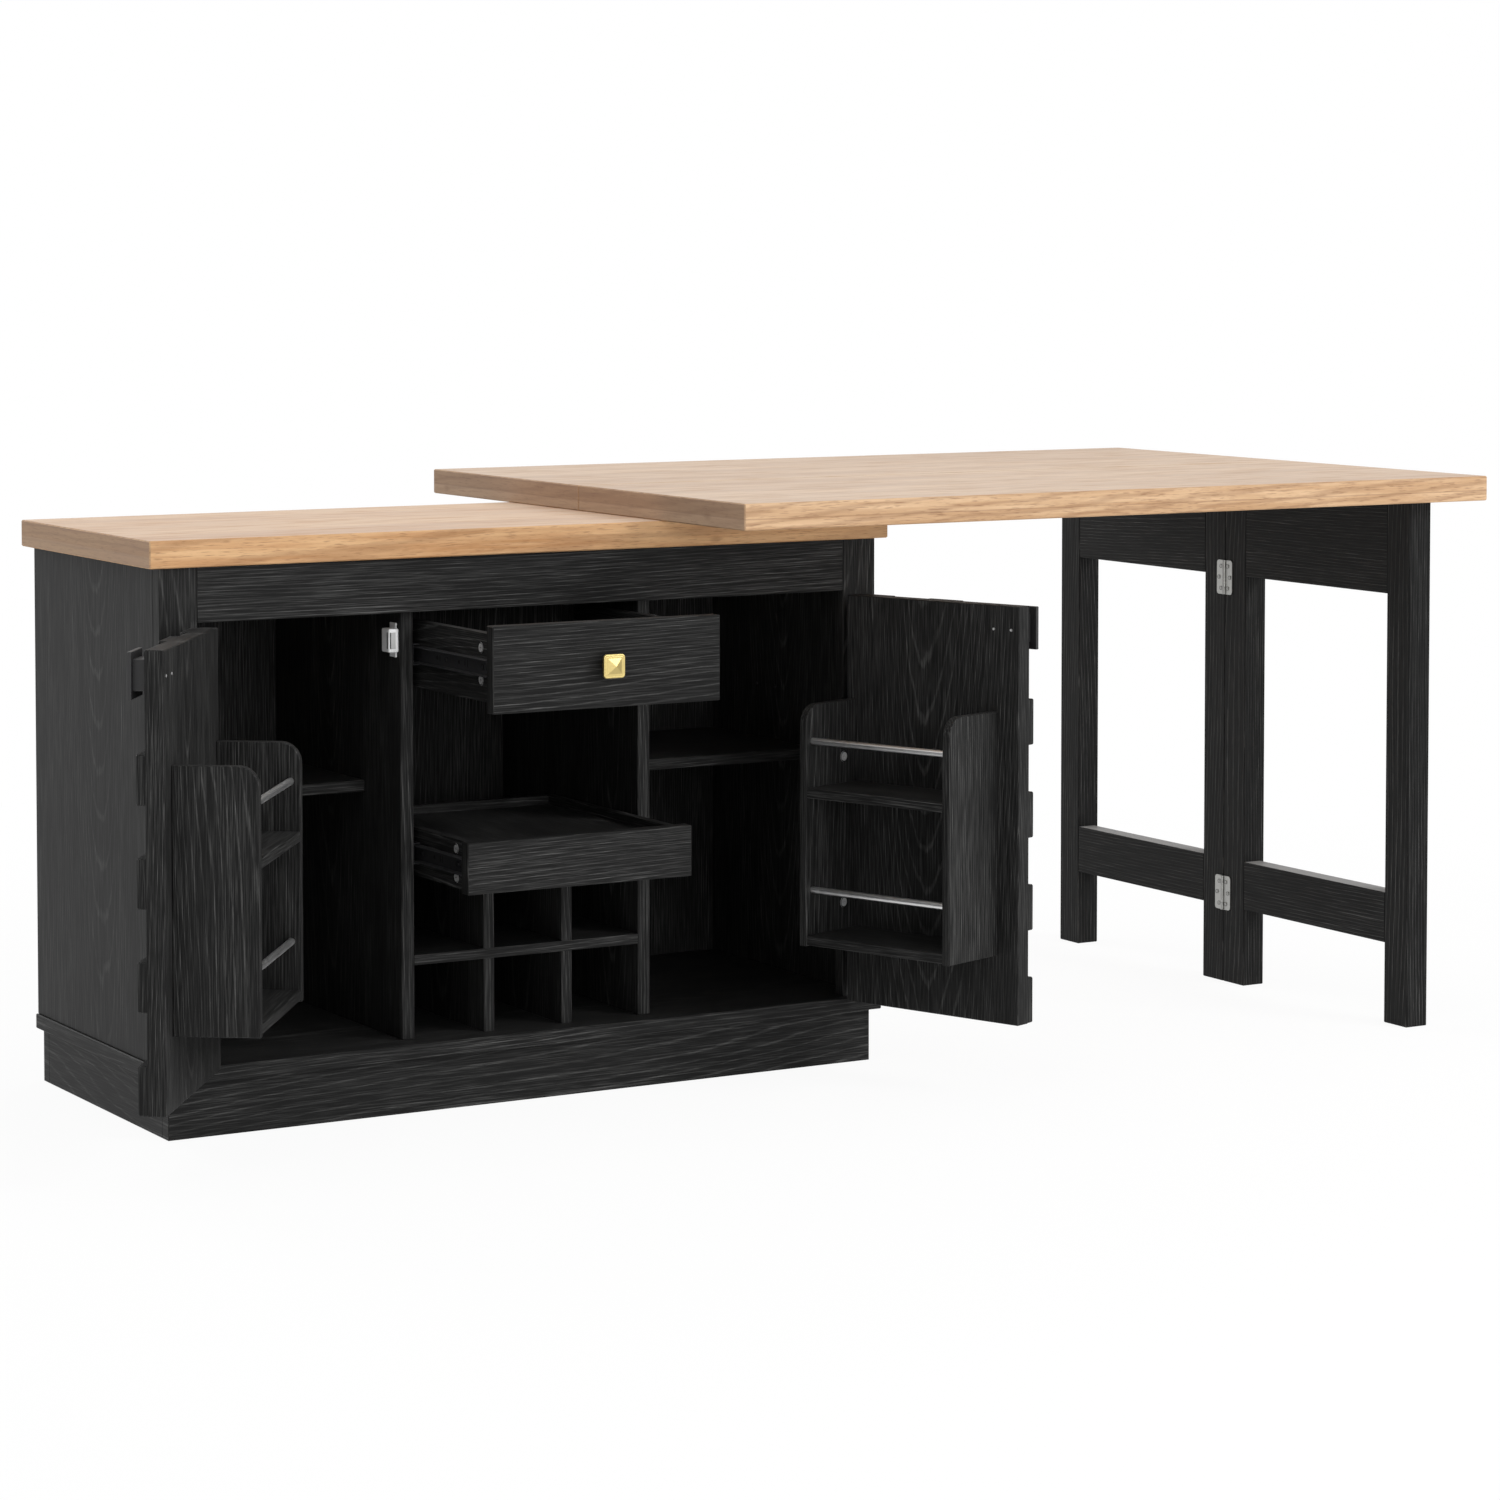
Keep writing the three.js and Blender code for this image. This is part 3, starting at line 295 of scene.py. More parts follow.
def oak_block(node, seam_y, seed, glue_share, palette, looks):
    """The finish of one oak top, whose pattern is mirrored about the seam."""
    material, tree, shader = new_material(f"oiled_oak_{node}")
    pale, deep, fleck, end_low, end_high = (linear(tone) for tone in palette)
    here = add(tree, "ShaderNodeTexCoord").outputs
    x, y, z = add(tree, "ShaderNodeSeparateXYZ", {0: here["Object"]}).outputs
    nx, _, nz = add(tree, "ShaderNodeSeparateXYZ", {0: here["Normal"]}).outputs
    from_seam = {0: y, 1: seam_y}
    from_seam = add(tree, "ShaderNodeMath", from_seam, operation="SUBTRACT").outputs[0]
    folded = add(tree, "ShaderNodeMath", {0: from_seam}, operation="ABSOLUTE").outputs[0]
    flat = add(tree, "ShaderNodeMath", {0: nz}, operation="ABSOLUTE").outputs[0]
    steep = add(tree, "ShaderNodeMath", {0: nx}, operation="ABSOLUTE").outputs[0]
    on_end = {0: steep, FROM_LOW: 0.6, FROM_HIGH: 0.8}
    on_end = add(tree, "ShaderNodeMapRange", on_end).outputs[0]
    face_at = add(tree, "ShaderNodeCombineXYZ", {0: x, 1: folded, 2: z}).outputs[0]
    end_at = add(tree, "ShaderNodeCombineXYZ", {0: y, 1: z, 2: x}).outputs[0]
    both = {"Factor": on_end, VECTOR_A: face_at, VECTOR_B: end_at}
    board = add(tree, "ShaderNodeMix", both, data_type="VECTOR").outputs[VECTOR_OUT]
    at = {}  # for each pattern, the board drawn out along the grain
    for pattern, times in OAK_LENGTHS.items():
        place = {"Vector": board, "Location": (seed, seed * 0.37, 0), "Scale": (times, 1, 1)}
        at[pattern] = add(tree, "ShaderNodeMapping", place, vector_type="TEXTURE").outputs[0]

    # soft bands and fine streaks
    noise = {"Vector": at["band"], "Scale": 1 / OAK_BAND, "Detail": 3.0, "Roughness": 0.55}
    bands = add(tree, "ShaderNodeTexNoise", noise).outputs["Fac"]
    band = {0: bands, FROM_LOW: 0.36, FROM_HIGH: 0.62}
    band = add(tree, "ShaderNodeMapRange", band).outputs[0]
    noise = {
        "Vector": at["streak"],
        "Scale": NOISE_MARK / looks.streak_width,
        "Detail": 4.0,
        "Roughness": 0.62,
        "Distortion": 0.25,
    }
    streaks = add(tree, "ShaderNodeTexNoise", noise).outputs["Fac"]
    streak = {0: streaks, FROM_LOW: 0.38, FROM_HIGH: 0.62}
    streak = add(tree, "ShaderNodeMapRange", streak).outputs[0]
    mixed = add(tree, "ShaderNodeMath", {0: band, 1: 0.55}, operation="MULTIPLY").outputs[0]
    mixed = {0: streak, 1: 0.45, 2: mixed}
    mixed = add(tree, "ShaderNodeMath", mixed, operation="MULTIPLY_ADD").outputs[0]
    tones = {"Factor": mixed, COLOUR_A: deep, COLOUR_B: pale}
    colour = add(tree, "ShaderNodeMix", tones, data_type="RGBA").outputs[COLOUR_OUT]

    # growth rings of a flat cut
    log = {
        "Vector": at["ring"],
        "Location": Vector((10, 30, 45)) * MM,
        "Rotation": (0.1, math.radians(26), math.radians(4)),
    }
    wave = {
        "Vector": add(tree, "ShaderNodeMapping", log).outputs[0],
        "Scale": RING_TURN / OAK_RING,
        "Distortion": 6.0,
        "Detail": 4.0,
        "Detail Scale": 0.9,
        "Detail Roughness": 0.6,
    }
    rings = add(tree, "ShaderNodeTexWave", wave, wave_type="RINGS", rings_direction="X")
    ring = {0: rings.outputs["Fac"], FROM_LOW: 0.55, TO_HIGH: 0.3}
    ring = add(tree, "ShaderNodeMapRange", ring).outputs[0]
    tones = {"Factor": ring, COLOUR_A: colour, COLOUR_B: fleck}
    colour = add(tree, "ShaderNodeMix", tones, data_type="RGBA").outputs[COLOUR_OUT]

    # pores, which show more on the edges
    noise = {"Vector": at["pore"], "Scale": 1 / OAK_PORE, "Detail": 2.0, "Roughness": 0.6}
    pores = add(tree, "ShaderNodeTexNoise", noise).outputs["Fac"]
    pore = {0: pores, FROM_LOW: 0.54, FROM_HIGH: 0.7}
    pore = add(tree, "ShaderNodeMapRange", pore).outputs[0]
    pore_share = {0: flat, TO_LOW: 0.55, TO_HIGH: 0.3}
    pore_share = add(tree, "ShaderNodeMapRange", pore_share).outputs[0]
    amount = {0: pore, 1: pore_share}
    amount = add(tree, "ShaderNodeMath", amount, operation="MULTIPLY").outputs[0]
    tones = {"Factor": amount, COLOUR_A: colour, COLOUR_B: fleck}
    colour = add(tree, "ShaderNodeMix", tones, data_type="RGBA").outputs[COLOUR_OUT]

    # small knots, 14 mm across, which only the edges have
    cells = {"Vector": at["knot"], "Scale": 1 / OAK_KNOT}
    knots = add(tree, "ShaderNodeTexVoronoi", cells).outputs["Distance"]
    knot_share = {0: flat, TO_LOW: 0.6, TO_HIGH: 0.0}
    knot_share = add(tree, "ShaderNodeMapRange", knot_share).outputs[0]
    knot = {0: knots, FROM_LOW: KNOT_RIM, FROM_HIGH: KNOT_HEART, TO_HIGH: knot_share}
    knot = add(tree, "ShaderNodeMapRange", knot).outputs[0]
    tones = {"Factor": knot, COLOUR_A: colour, COLOUR_B: linear(KNOT_TONE)}
    colour = add(tree, "ShaderNodeMix", tones, data_type="RGBA").outputs[COLOUR_OUT]

    # the glue line between the layers
    height = {0: z, 1: centre_of(node).z - GLUE_DROP}
    height = add(tree, "ShaderNodeMath", height, operation="SUBTRACT").outputs[0]
    away = add(tree, "ShaderNodeMath", {0: height}, operation="ABSOLUTE").outputs[0]
    glue = {0: away, FROM_LOW: GLUE_REACH, FROM_HIGH: GLUE_LINE, TO_HIGH: glue_share}
    glue = add(tree, "ShaderNodeMapRange", glue).outputs[0]
    tones = {"Factor": glue, COLOUR_A: colour, COLOUR_B: fleck}
    glued = add(tree, "ShaderNodeMix", tones, data_type="RGBA").outputs[COLOUR_OUT]

    # the banding of the ends, one strip to each layer
    upper = {0: height, FROM_LOW: -1 * MM, FROM_HIGH: 1 * MM}
    upper = add(tree, "ShaderNodeMapRange", upper).outputs[0]
    tones = {"Factor": upper, COLOUR_A: end_low, COLOUR_B: end_high}
    banding = add(tree, "ShaderNodeMix", tones, data_type="RGBA").outputs[COLOUR_OUT]
    tones = {"Factor": 0.35, COLOUR_A: banding, COLOUR_B: glued}
    banding = add(tree, "ShaderNodeMix", tones, data_type="RGBA").outputs[COLOUR_OUT]
    tones = {"Factor": on_end, COLOUR_A: glued, COLOUR_B: banding}
    colour = add(tree, "ShaderNodeMix", tones, data_type="RGBA").outputs[COLOUR_OUT]

    # painted sheen that makes the flat faces paler, with the figure's short dark dashes
    painted_sheen = {0: flat, FROM_LOW: 0.8, FROM_HIGH: 0.95, TO_HIGH: 0.37}
    painted_sheen = add(tree, "ShaderNodeMapRange", painted_sheen).outputs[0]
    tones = {"Factor": painted_sheen, COLOUR_A: colour, COLOUR_B: linear(PAINTED_SHEEN_OAK)}
    colour = add(tree, "ShaderNodeMix", tones, data_type="RGBA").outputs[COLOUR_OUT]
    noise = {"Vector": at["dash"], "Scale": 1 / OAK_DASH, "Detail": 3.0, "Roughness": 0.6}
    dashes = add(tree, "ShaderNodeTexNoise", noise).outputs["Fac"]
    dash = {0: dashes, FROM_LOW: 0.5, FROM_HIGH: 0.66, TO_HIGH: 0.5}
    dash = add(tree, "ShaderNodeMapRange", dash).outputs[0]
    dash = add(tree, "ShaderNodeMath", {0: dash, 1: flat}, operation="MULTIPLY").outputs[0]
    tones = {"Factor": dash, COLOUR_A: colour, COLOUR_B: deep}
    colour = add(tree, "ShaderNodeMix", tones, data_type="RGBA").outputs[COLOUR_OUT]

    rough = add(tree, "ShaderNodeMapRange", {0: streak, TO_LOW: 0.58, TO_HIGH: 0.7}).outputs[0]
    bump = {"Strength": 0.2, "Distance": 0.2 * MM, "Height": pore}
    bump = add(tree, "ShaderNodeBump", bump).outputs[0]
    finish_shader(tree, shader, colour, rough, bump)
    shader.inputs["Specular IOR Level"].default_value = 0.22
    return material


def worn_metal(name, colour, roughness, grit, metallic=1.0, spread=0.1):
    """A metal or coating with fine uneven gloss: grit is the size of its marks in metres."""
    material, tree, shader = new_material(name)
    here = add(tree, "ShaderNodeTexCoord").outputs["Object"]
    noise = {"Vector": here, "Scale": FINE_NOISE_MARK / grit, "Detail": 4.0}
    marks = add(tree, "ShaderNodeTexNoise", noise).outputs["Fac"]
    gloss = {
        0: marks,
        FROM_LOW: 0.3,
        FROM_HIGH: 0.7,
        TO_LOW: roughness - spread / 2,
        TO_HIGH: roughness + spread / 2,
    }
    rough = add(tree, "ShaderNodeMapRange", gloss).outputs[0]
    dark = [part * 0.82 for part in linear(colour)[:3]]
    tones = {"Factor": marks, COLOUR_A: (*dark, 1), COLOUR_B: linear(colour)}
    tone = add(tree, "ShaderNodeMix", tones, data_type="RGBA").outputs[COLOUR_OUT]
    bump = {"Strength": 0.12, "Distance": 0.1 * MM, "Height": marks}
    bump = add(tree, "ShaderNodeBump", bump).outputs[0]
    finish_shader(tree, shader, tone, rough, bump)
    shader.inputs["Metallic"].default_value = metallic
    return material


# ------------------------------------------------------------ small fittings, in mesh code


def finish_piece(bm, name, body, slot, *materials):
    """Turns a bmesh into a piece that rides on a body."""
    bmesh.ops.recalc_face_normals(bm, faces=bm.faces)
    mesh = bpy.data.meshes.new(name)
    bm.to_mesh(mesh)
    bm.free()
    for material in materials:
        mesh.materials.append(material)
    piece = bpy.data.objects.new(name, mesh)
    bpy.context.scene.collection.objects.link(piece)
    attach(piece, body)
    return piece


def disc(bm, radius, height, segments):
    """A round block that stands on the XY plane."""
    return bmesh.ops.create_cone(
        bm, cap_ends=True, segments=segments, radius1=radius, radius2=radius, depth=height,
        matrix=Matrix.Translation((0, 0, height / 2)),
    )


# The shape of a cross head.
RIM_SHARE, RIM_SLOPE = 0.22, 0.3  # the rim's width in radii, and how far it falls for its width
CROSS_REACH, CROSS_CORNER = 0.5, 0.34  # shares of the face inside the rim, and of that reach
CROSS_DEPTH = 0.8  # a share of the head's height
ARM_WIDTH = math.radians(30)  # the angle that an arm spans, seen from the middle


def cross_head(bm, place, radius, height):
    """A round screw or cam head with a cross sunk into it, standing on its place's XY plane.

    The ring round the cross and the floor of the cross take the piece's second material.
    """
    rim = RIM_SHARE * radius
    made = disc(bm, radius, height, 32)
    faces = {f for v in made["verts"] for f in v.link_faces}
    top = max(faces, key=lambda f: f.calc_center_median().z)
    slope = -rim * RIM_SLOPE
    ring = bmesh.ops.inset_individual(bm, faces=[top], thickness=rim, depth=slope)["faces"]
    for face in ring:
        face.material_index = 1
    # a disc is inset, and what lies between its four arms is drawn in to make a cross of it
    bmesh.ops.inset_individual(bm, faces=[top], thickness=(radius - rim) * (1 - CROSS_REACH))
    for v in top.verts:
        between_arms = abs(math.sin(2 * math.atan2(v.co.y, v.co.x)))
        if between_arms > math.sin(ARM_WIDTH):
            v.co.xy *= CROSS_CORNER
    bmesh.ops.inset_individual(bm, faces=[top], thickness=0, depth=-height * CROSS_DEPTH)
    top.material_index = 1
    linked = set(made["verts"])
    front = list(linked)
    while front:
        reach = {e.other_vert(v) for v in front for e in v.link_edges} - linked
        linked |= reach
        front = list(reach)
    bmesh.ops.transform(bm, matrix=place, verts=list(linked))


def slot_mark(bm, place, width, length):
    """A dark slot, drawn as an oval leaf 0.2 mm thick with slightly sloping sides."""
    thick, taper = 0.2 * MM, 0.9
    longer = Matrix.Diagonal((1, length / width, 1, 1))
    bmesh.ops.create_cone(
        bm, cap_ends=True, segments=20, radius1=width / 2, radius2=width / 2 * taper, depth=thick,
        matrix=place @ Matrix.Translation((0, 0, thick / 2)) @ longer,
    )


def plate(bm, place, width, depth, height):
    """A plate with edges eased by 0.1 mm, standing on its place's XY plane."""
    middle = place @ Matrix.Translation((0, 0, height / 2))
    scale = Matrix.Diagonal((width, depth, height, 1))
    made = bmesh.ops.create_cube(bm, size=1, matrix=middle @ scale)
    edges = list({e for v in made["verts"] for e in v.link_edges})
    bmesh.ops.bevel(
        bm, geom=edges, offset=0.1 * MM, offset_type="OFFSET", segments=2,
        affect="EDGES", profile=0.5, material=-1,
    )


# ------------------------------------------------------------ what a user would change


class IslandLooks(bpy.types.PropertyGroup):
    """Colours and pattern sizes of the boards."""

    ash_ground: FloatVectorProperty(
        name="Black ash ground",
        description="Colour between the grain lines",
        subtype="COLOR",
        default=linear("#1B1B1B")[:3],
    )
    ash_line: FloatVectorProperty(
        name="Black ash line",
        description="Colour of the grain lines",
        subtype="COLOR",
        default=linear("#686867")[:3],
    )
    ring_spacing: FloatProperty(
        name="Ring spacing",
        description="Distance between the ash's growth rings",
        unit="LENGTH",
        default=3.8 * MM,
    )
    fibre_share: FloatProperty(
        name="Fibre share",
        description="How light the fine fibres between the rings are",
        subtype="FACTOR",
        default=0.42,
    )
    pore_width: FloatProperty(
        name="Pore width",
        description="Width of the ash's fine pressed pores, as drawn",
        unit="LENGTH",
        default=0.9 * MM,
    )
    streak_width: FloatProperty(
        name="Streak width",
        description="Width of the oak's fine streaks",
        unit="LENGTH",
        default=5.0 * MM,
    )


class IslandFittings(bpy.types.PropertyGroup):
    """Sizes of the small fittings."""

    knob_size: FloatProperty(
        name="Knob size",
        description="Width and height of the square knob",
        unit="LENGTH",
        default=30 * MM,
    )
    cam_radius: FloatProperty(
        name="Cam radius",
        description="Radius of the cam discs on the drawer and the tray",
        unit="LENGTH",
        default=7.0 * MM,
    )
    disc_radius: FloatProperty(
        name="Rack disc radius",
        description="Radius of the discs inside the door racks",
        unit="LENGTH",
        default=7.5 * MM,
    )
    screw_radius: FloatProperty(
        name="Screw radius",
        description="Radius of the screws in the butt hinges",
        unit="LENGTH",
        default=3.0 * MM,
    )


# ------------------------------------------------------------ operators

LEG_FRAMES = ("front_frame", "back_frame")
LEG_FRAME_BOARDS = {
    "outer_leg": (Z, -Y),
    "inner_leg": (Z, -Y),
    "apron": (Y, -X),
    "stretcher": (Y, -X),
}

# Every black board: its node, the way its grain runs, and the way its widest seen face looks.
BOARDS = {
    "plinth": (X, -Y), "floor_slab": (X, Z), "side_panel_left": (Z, -X), "side_panel_right": (Z, X),
    "stile_left": (Z, -Y), "stile_right": (Z, -Y), "top_rail": (X, -Y), "back_panel": (Z, -Y),
    "partition_left": (Z, -X), "partition_right": (Z, -X),
    "shelf_left": (X, Z), "shelf_right": (X, Z),
    "wine_shelf": (X, Z), "wine_upright_left": (Z, -X), "wine_upright_right": (Z, -X),
    "drawer_front": (X, -Y), "drawer_box": (Y, -X), "drawer_bottom": (Y, Z),
    "tray_front": (X, -Y), "tray_box": (Y, Z),
    **{f"{legs}_{board}": ways for legs in LEG_FRAMES for board, ways in LEG_FRAME_BOARDS.items()},
}

# Boards cut flat, whose rings show as arches. The others are cut on the quarter and show lines.
ARCHED_BOARDS = (
    "side_panel_left", "side_panel_right", "back_panel",
    "left_door", "right_door", "partition_left", "stile_left", "stile_right",
)

# Boards drawn darker and with fainter fibres: how much of the usual ground colour and of the usual
# fibres they show. On the leg frames, which stand under the table, this is painted shade.
DARKER_BOARDS = {
    "drawer_front": (0.8, 0.62),
    "tray_front": (0.9, 0.85),
    **{f"{legs}_{board}": (0.68, 0.45) for legs in LEG_FRAMES for board in LEG_FRAME_BOARDS},
}

# The leg frames' stretchers, whose tops get a painted sheen: pale grey where they look up.
PAINTED_SHEEN_TOPS = [f"{legs}_stretcher" for legs in LEG_FRAMES]

# Oak tones: pale ground, deep ground, flecks, and the lower and upper strip of the ends' banding.
GOLDEN_OAK = ("#E2BC90", "#BA895C", "#7A5132", "#A5907F", "#957E6E")
TAN_OAK = ("#DBBB98", "#B18B66", "#76523A", "#A88D78", "#907461")


def dress(node, material):
    """Gives a CAD node its finish."""
    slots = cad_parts[node].material_slots
    for slot in slots:
        slot.material = material
    if not slots:
        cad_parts[node].data.materials.append(material)


class ISLAND_OT_black_boards(bpy.types.Operator):
    """Faces the cupboard, doors, racks, drawer, tray and leg frames with black ash"""

    bl_idname = "island.black_boards"
    bl_label = "Black ash boards"

    def execute(self, context):
        boards = {
            node: {"centre": centre_of(node), "grain": grain, "normal": normal}
            for node, (grain, normal) in BOARDS.items()
        }
        boards["plinth"]["ends_run_deep"] = True
        for side in SIDES:
            turn = turned(side).to_3x3()
            boards[f"{side}_door"] = {
                "centre": centre_of(f"{side}_door"), "grain": Z, "normal": turn @ Y,
            }
            boards[f"{side}_rack"] = {
                "centre": rack_centre(side), "grain": Z, "normal": turn @ X,
                "core": RACK_HALF_W - RACK_BOARD,
            }
        for number, (node, board) in enumerate(boards.items(), 1):
            dress(node, black_ash(node, board, float(number), context.scene.island_looks))
        return {"FINISHED"}


class ISLAND_OT_oak_tops(bpy.types.Operator):
    """Finishes the cupboard's top and the table's two leaves as oiled oak"""

    bl_idname = "island.oak_tops"
    bl_label = "Oak tops"

    def execute(self, context):
        looks = context.scene.island_looks
        for node, seam_y, seed, glue_share, palette in (
            ("lower_top", LOWER_SEAM_Y, 11.0, 0.08, GOLDEN_OAK),
            ("table_leaf_back", TABLE_SEAM_Y, 3.0, 0.35, TAN_OAK),
            ("table_leaf_front", TABLE_SEAM_Y, 3.0, 0.35, TAN_OAK),
        ):
            dress(node, oak_block(node, seam_y, seed, glue_share, palette, looks))
        return {"FINISHED"}


class ISLAND_OT_metalware(bpy.types.Operator):
    """Finishes the runners, hinges, rods, pulls, knob and catches"""

    bl_idname = "island.metalware"
    bl_label = "Metalware"

    def execute(self, context):
        # Runners and long hinges: rolled steel, zinc-plated and black-lacquered, so they shine
        # softly in the dark.
        runner = worn_metal("black_lacquered_steel", "#48484A", 0.42, grit=4 * MM, metallic=0.6)
        # Pulls: pressed steel with a matt black powder coat, whose orange peel breaks up the shine.
        pull = worn_metal("black_powder_coat", "#1C1C1D", 0.5, grit=2 * MM, metallic=0.0)
        # Rods: drawn steel tube, satin chrome plated, so they look pale grey with a soft bright
        # line.
        rod = worn_metal("satin_chrome_plate", "#F2F2F2", 0.36, grit=6 * MM, spread=0.06)
        # Butt hinges: nickel-plated steel, tumbled, so they look satin grey.
        nickel = worn_metal("satin_nickel_plate", "#A7A7A4", 0.38, grit=2 * MM)
        # Screws, slots and plates of the dark fittings: black-oxide steel, nearly as dark as the
        # boards. The operators that make them fetch it by name.
        worn_metal("black_oxide_steel", "#141414", 0.45, grit=1 * MM, metallic=0.4)
        # Knob: cast brass, brushed and lacquered, pale gold.
        brass = worn_metal("brushed_lacquered_brass", "#CFBB7C", 0.42, grit=1.5 * MM)
        # Catches: moulded white ABS, slightly soft in its shine.
        abs_white = worn_metal("moulded_white_abs", WHITE, 0.45, grit=3 * MM, metallic=0.0)
        for side in SIDES:
            for box in ("drawer", "tray"):
                dress(f"{box}_runner_{side}", runner)
                dress(f"{box}_slide_{side}", runner)
            dress(f"{side}_hinge_stile_leaf", runner)
            dress(f"{side}_hinge_door_leaf", runner)
            dress(f"{side}_door_pull", pull)
            dress(f"catch_{side}", abs_white)
            for level in ("lower", "upper"):
                dress(f"{side}_rack_rod_{level}", rod)
        for leaf in ("front", "back"):
            for level in ("lower", "upper"):
                dress(f"{leaf}_butt_leaf_{level}", nickel)
        dress("drawer_knob", brass)
        return {"FINISHED"}


class ISLAND_OT_knob(bpy.types.Operator):
    """Makes the drawer's square brass knob with its low four-sided point"""

    bl_idname = "island.knob"
    bl_label = "Knob"

    def execute(self, context):
        size = context.scene.island_fittings.knob_size
        low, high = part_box("drawer_knob")
        at = upright(Vector((0, high.y, (low.z + high.z) / 2)), -Y)
        neck_r, neck_h = 7 * MM, 12 * MM
        foot_r, foot_h = 9 * MM, 2 * MM
        head_h = 5 * MM
        corner, eased = 4.5 * MM, 1.3 * MM
        step, groove_w, groove_deep = 1.6 * MM, 0.5 * MM, 0.15 * MM
        point_h, point_sunk, tip, inside = 4.9 * MM, 0.45 * MM, 0.3 * MM, 2.6 * MM

        # the head: a square block with round corners, eased, with a shallow groove round its face
        bm = bmesh.new()
        middle = Matrix.Translation((0, 0, neck_h + head_h / 2))
        scale = Matrix.Diagonal((size, size, head_h, 1))
        made = bmesh.ops.create_cube(bm, size=1, matrix=middle @ scale)
        edges = {e for v in made["verts"] for e in v.link_edges}
        corners = [e for e in edges if abs(e.verts[0].co.z - e.verts[1].co.z) > head_h / 2]
        bmesh.ops.bevel(
            bm, geom=corners, offset=corner, offset_type="OFFSET", segments=6,
            affect="EDGES", profile=0.5, material=-1,
        )
        top = max(bm.faces, key=lambda f: f.calc_center_median().z)
        back = min(bm.faces, key=lambda f: f.calc_center_median().z)
        rims = list({e for f in (top, back) for e in f.edges})
        bmesh.ops.bevel(
            bm, geom=rims, offset=eased, offset_type="OFFSET", segments=3,
            affect="EDGES", profile=0.5, material=-1,
        )
        top = max(bm.faces, key=lambda f: (round(f.calc_center_median().z, 6), f.calc_area()))
        bmesh.ops.inset_individual(bm, faces=[top], thickness=step, depth=-groove_deep)
        bmesh.ops.inset_individual(bm, faces=[top], thickness=groove_w, depth=groove_deep)

        # the point: a square pyramid that stands inside the groove
        base = (size / 2 - step - inside) * math.sqrt(2)
        middle = Matrix.Translation((0, 0, neck_h + head_h - point_sunk + point_h / 2))
        bmesh.ops.create_cone(
            bm, cap_ends=True, segments=4, radius1=base, radius2=tip, depth=point_h,
            matrix=middle @ Matrix.Rotation(math.radians(45), 4, "Z"),
        )
        disc(bm, foot_r, foot_h, 40)
        disc(bm, neck_r, neck_h, 40)
        bmesh.ops.transform(bm, matrix=at, verts=bm.verts)
        brass = bpy.data.materials["brushed_lacquered_brass"]
        knob = finish_piece(bm, "brass_knob", "drawer", "brass", brass)
        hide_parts("drawer_knob")
        return {"FINISHED"}


class ISLAND_OT_cams(bpy.types.Operator):
    """Sets the cam discs into the sides of the drawer and the tray"""

    bl_idname = "island.cams"
    bl_label = "Cam discs"

    def execute(self, context):
        radius = context.scene.island_fittings.cam_radius
        # Cams: die-cast zinc, left bare, pale grey and slightly rough.
        zinc = worn_metal("bare_die_cast_zinc", "#D6D6D6", 0.45, grit=1.5 * MM, metallic=0.5)
        oxide = bpy.data.materials["black_oxide_steel"]
        side_x = 150
        for box, y, heights in (("drawer", -147, (606, 566)), ("tray", -76, (346, 310))):
            bm = bmesh.new()
            for sign in SIDES.values():
                for z in heights:
                    at = upright(spot(sign * side_x, y, z), sign * X)
                    cross_head(bm, at, radius, height=0.8 * MM)
            finish_piece(bm, f"{box}_cam_discs", box, "nickel_hinge", zinc, oxide)
        return {"FINISHED"}


class ISLAND_OT_rack_discs(bpy.types.Operator):
    """Sets the discs into the door racks and the screws of the pulls into the doors"""

    bl_idname = "island.rack_discs"
    bl_label = "Rack discs and pull screws"

    def execute(self, context):
        radius = context.scene.island_fittings.disc_radius
        zinc = bpy.data.materials["bare_die_cast_zinc"]
        oxide = bpy.data.materials["black_oxide_steel"]
        disc_y, disc_heights = 48, (424.6, 229.8)
        free_edge, screws_from_edge, inner_face, pull_z = 181.5, (13, 41), 23, 606.5
        # Both racks are the same piece, so the discs sit in its same end board on either door.
        for side, end_board_x in (("left", -226.5), ("right", 450.0)):
            door = turned(side)
            bm = bmesh.new()
            for z in disc_heights:
                at = upright(spot(end_board_x, disc_y, z), -X)
                cross_head(bm, door @ at, radius, height=0.8 * MM)
            finish_piece(bm, f"{side}_rack_discs", f"{side}_door", "nickel_hinge", zinc, oxide)
            bm = bmesh.new()
            for from_edge in screws_from_edge:
                at = spot(SIDES[side] * (free_edge + from_edge), inner_face, pull_z)
                cross_head(bm, door @ upright(at, Y), radius=2.0 * MM, height=0.6 * MM)
            finish_piece(bm, f"{side}_pull_screws", f"{side}_door", "nickel_hinge", zinc, oxide)
        return {"FINISHED"}


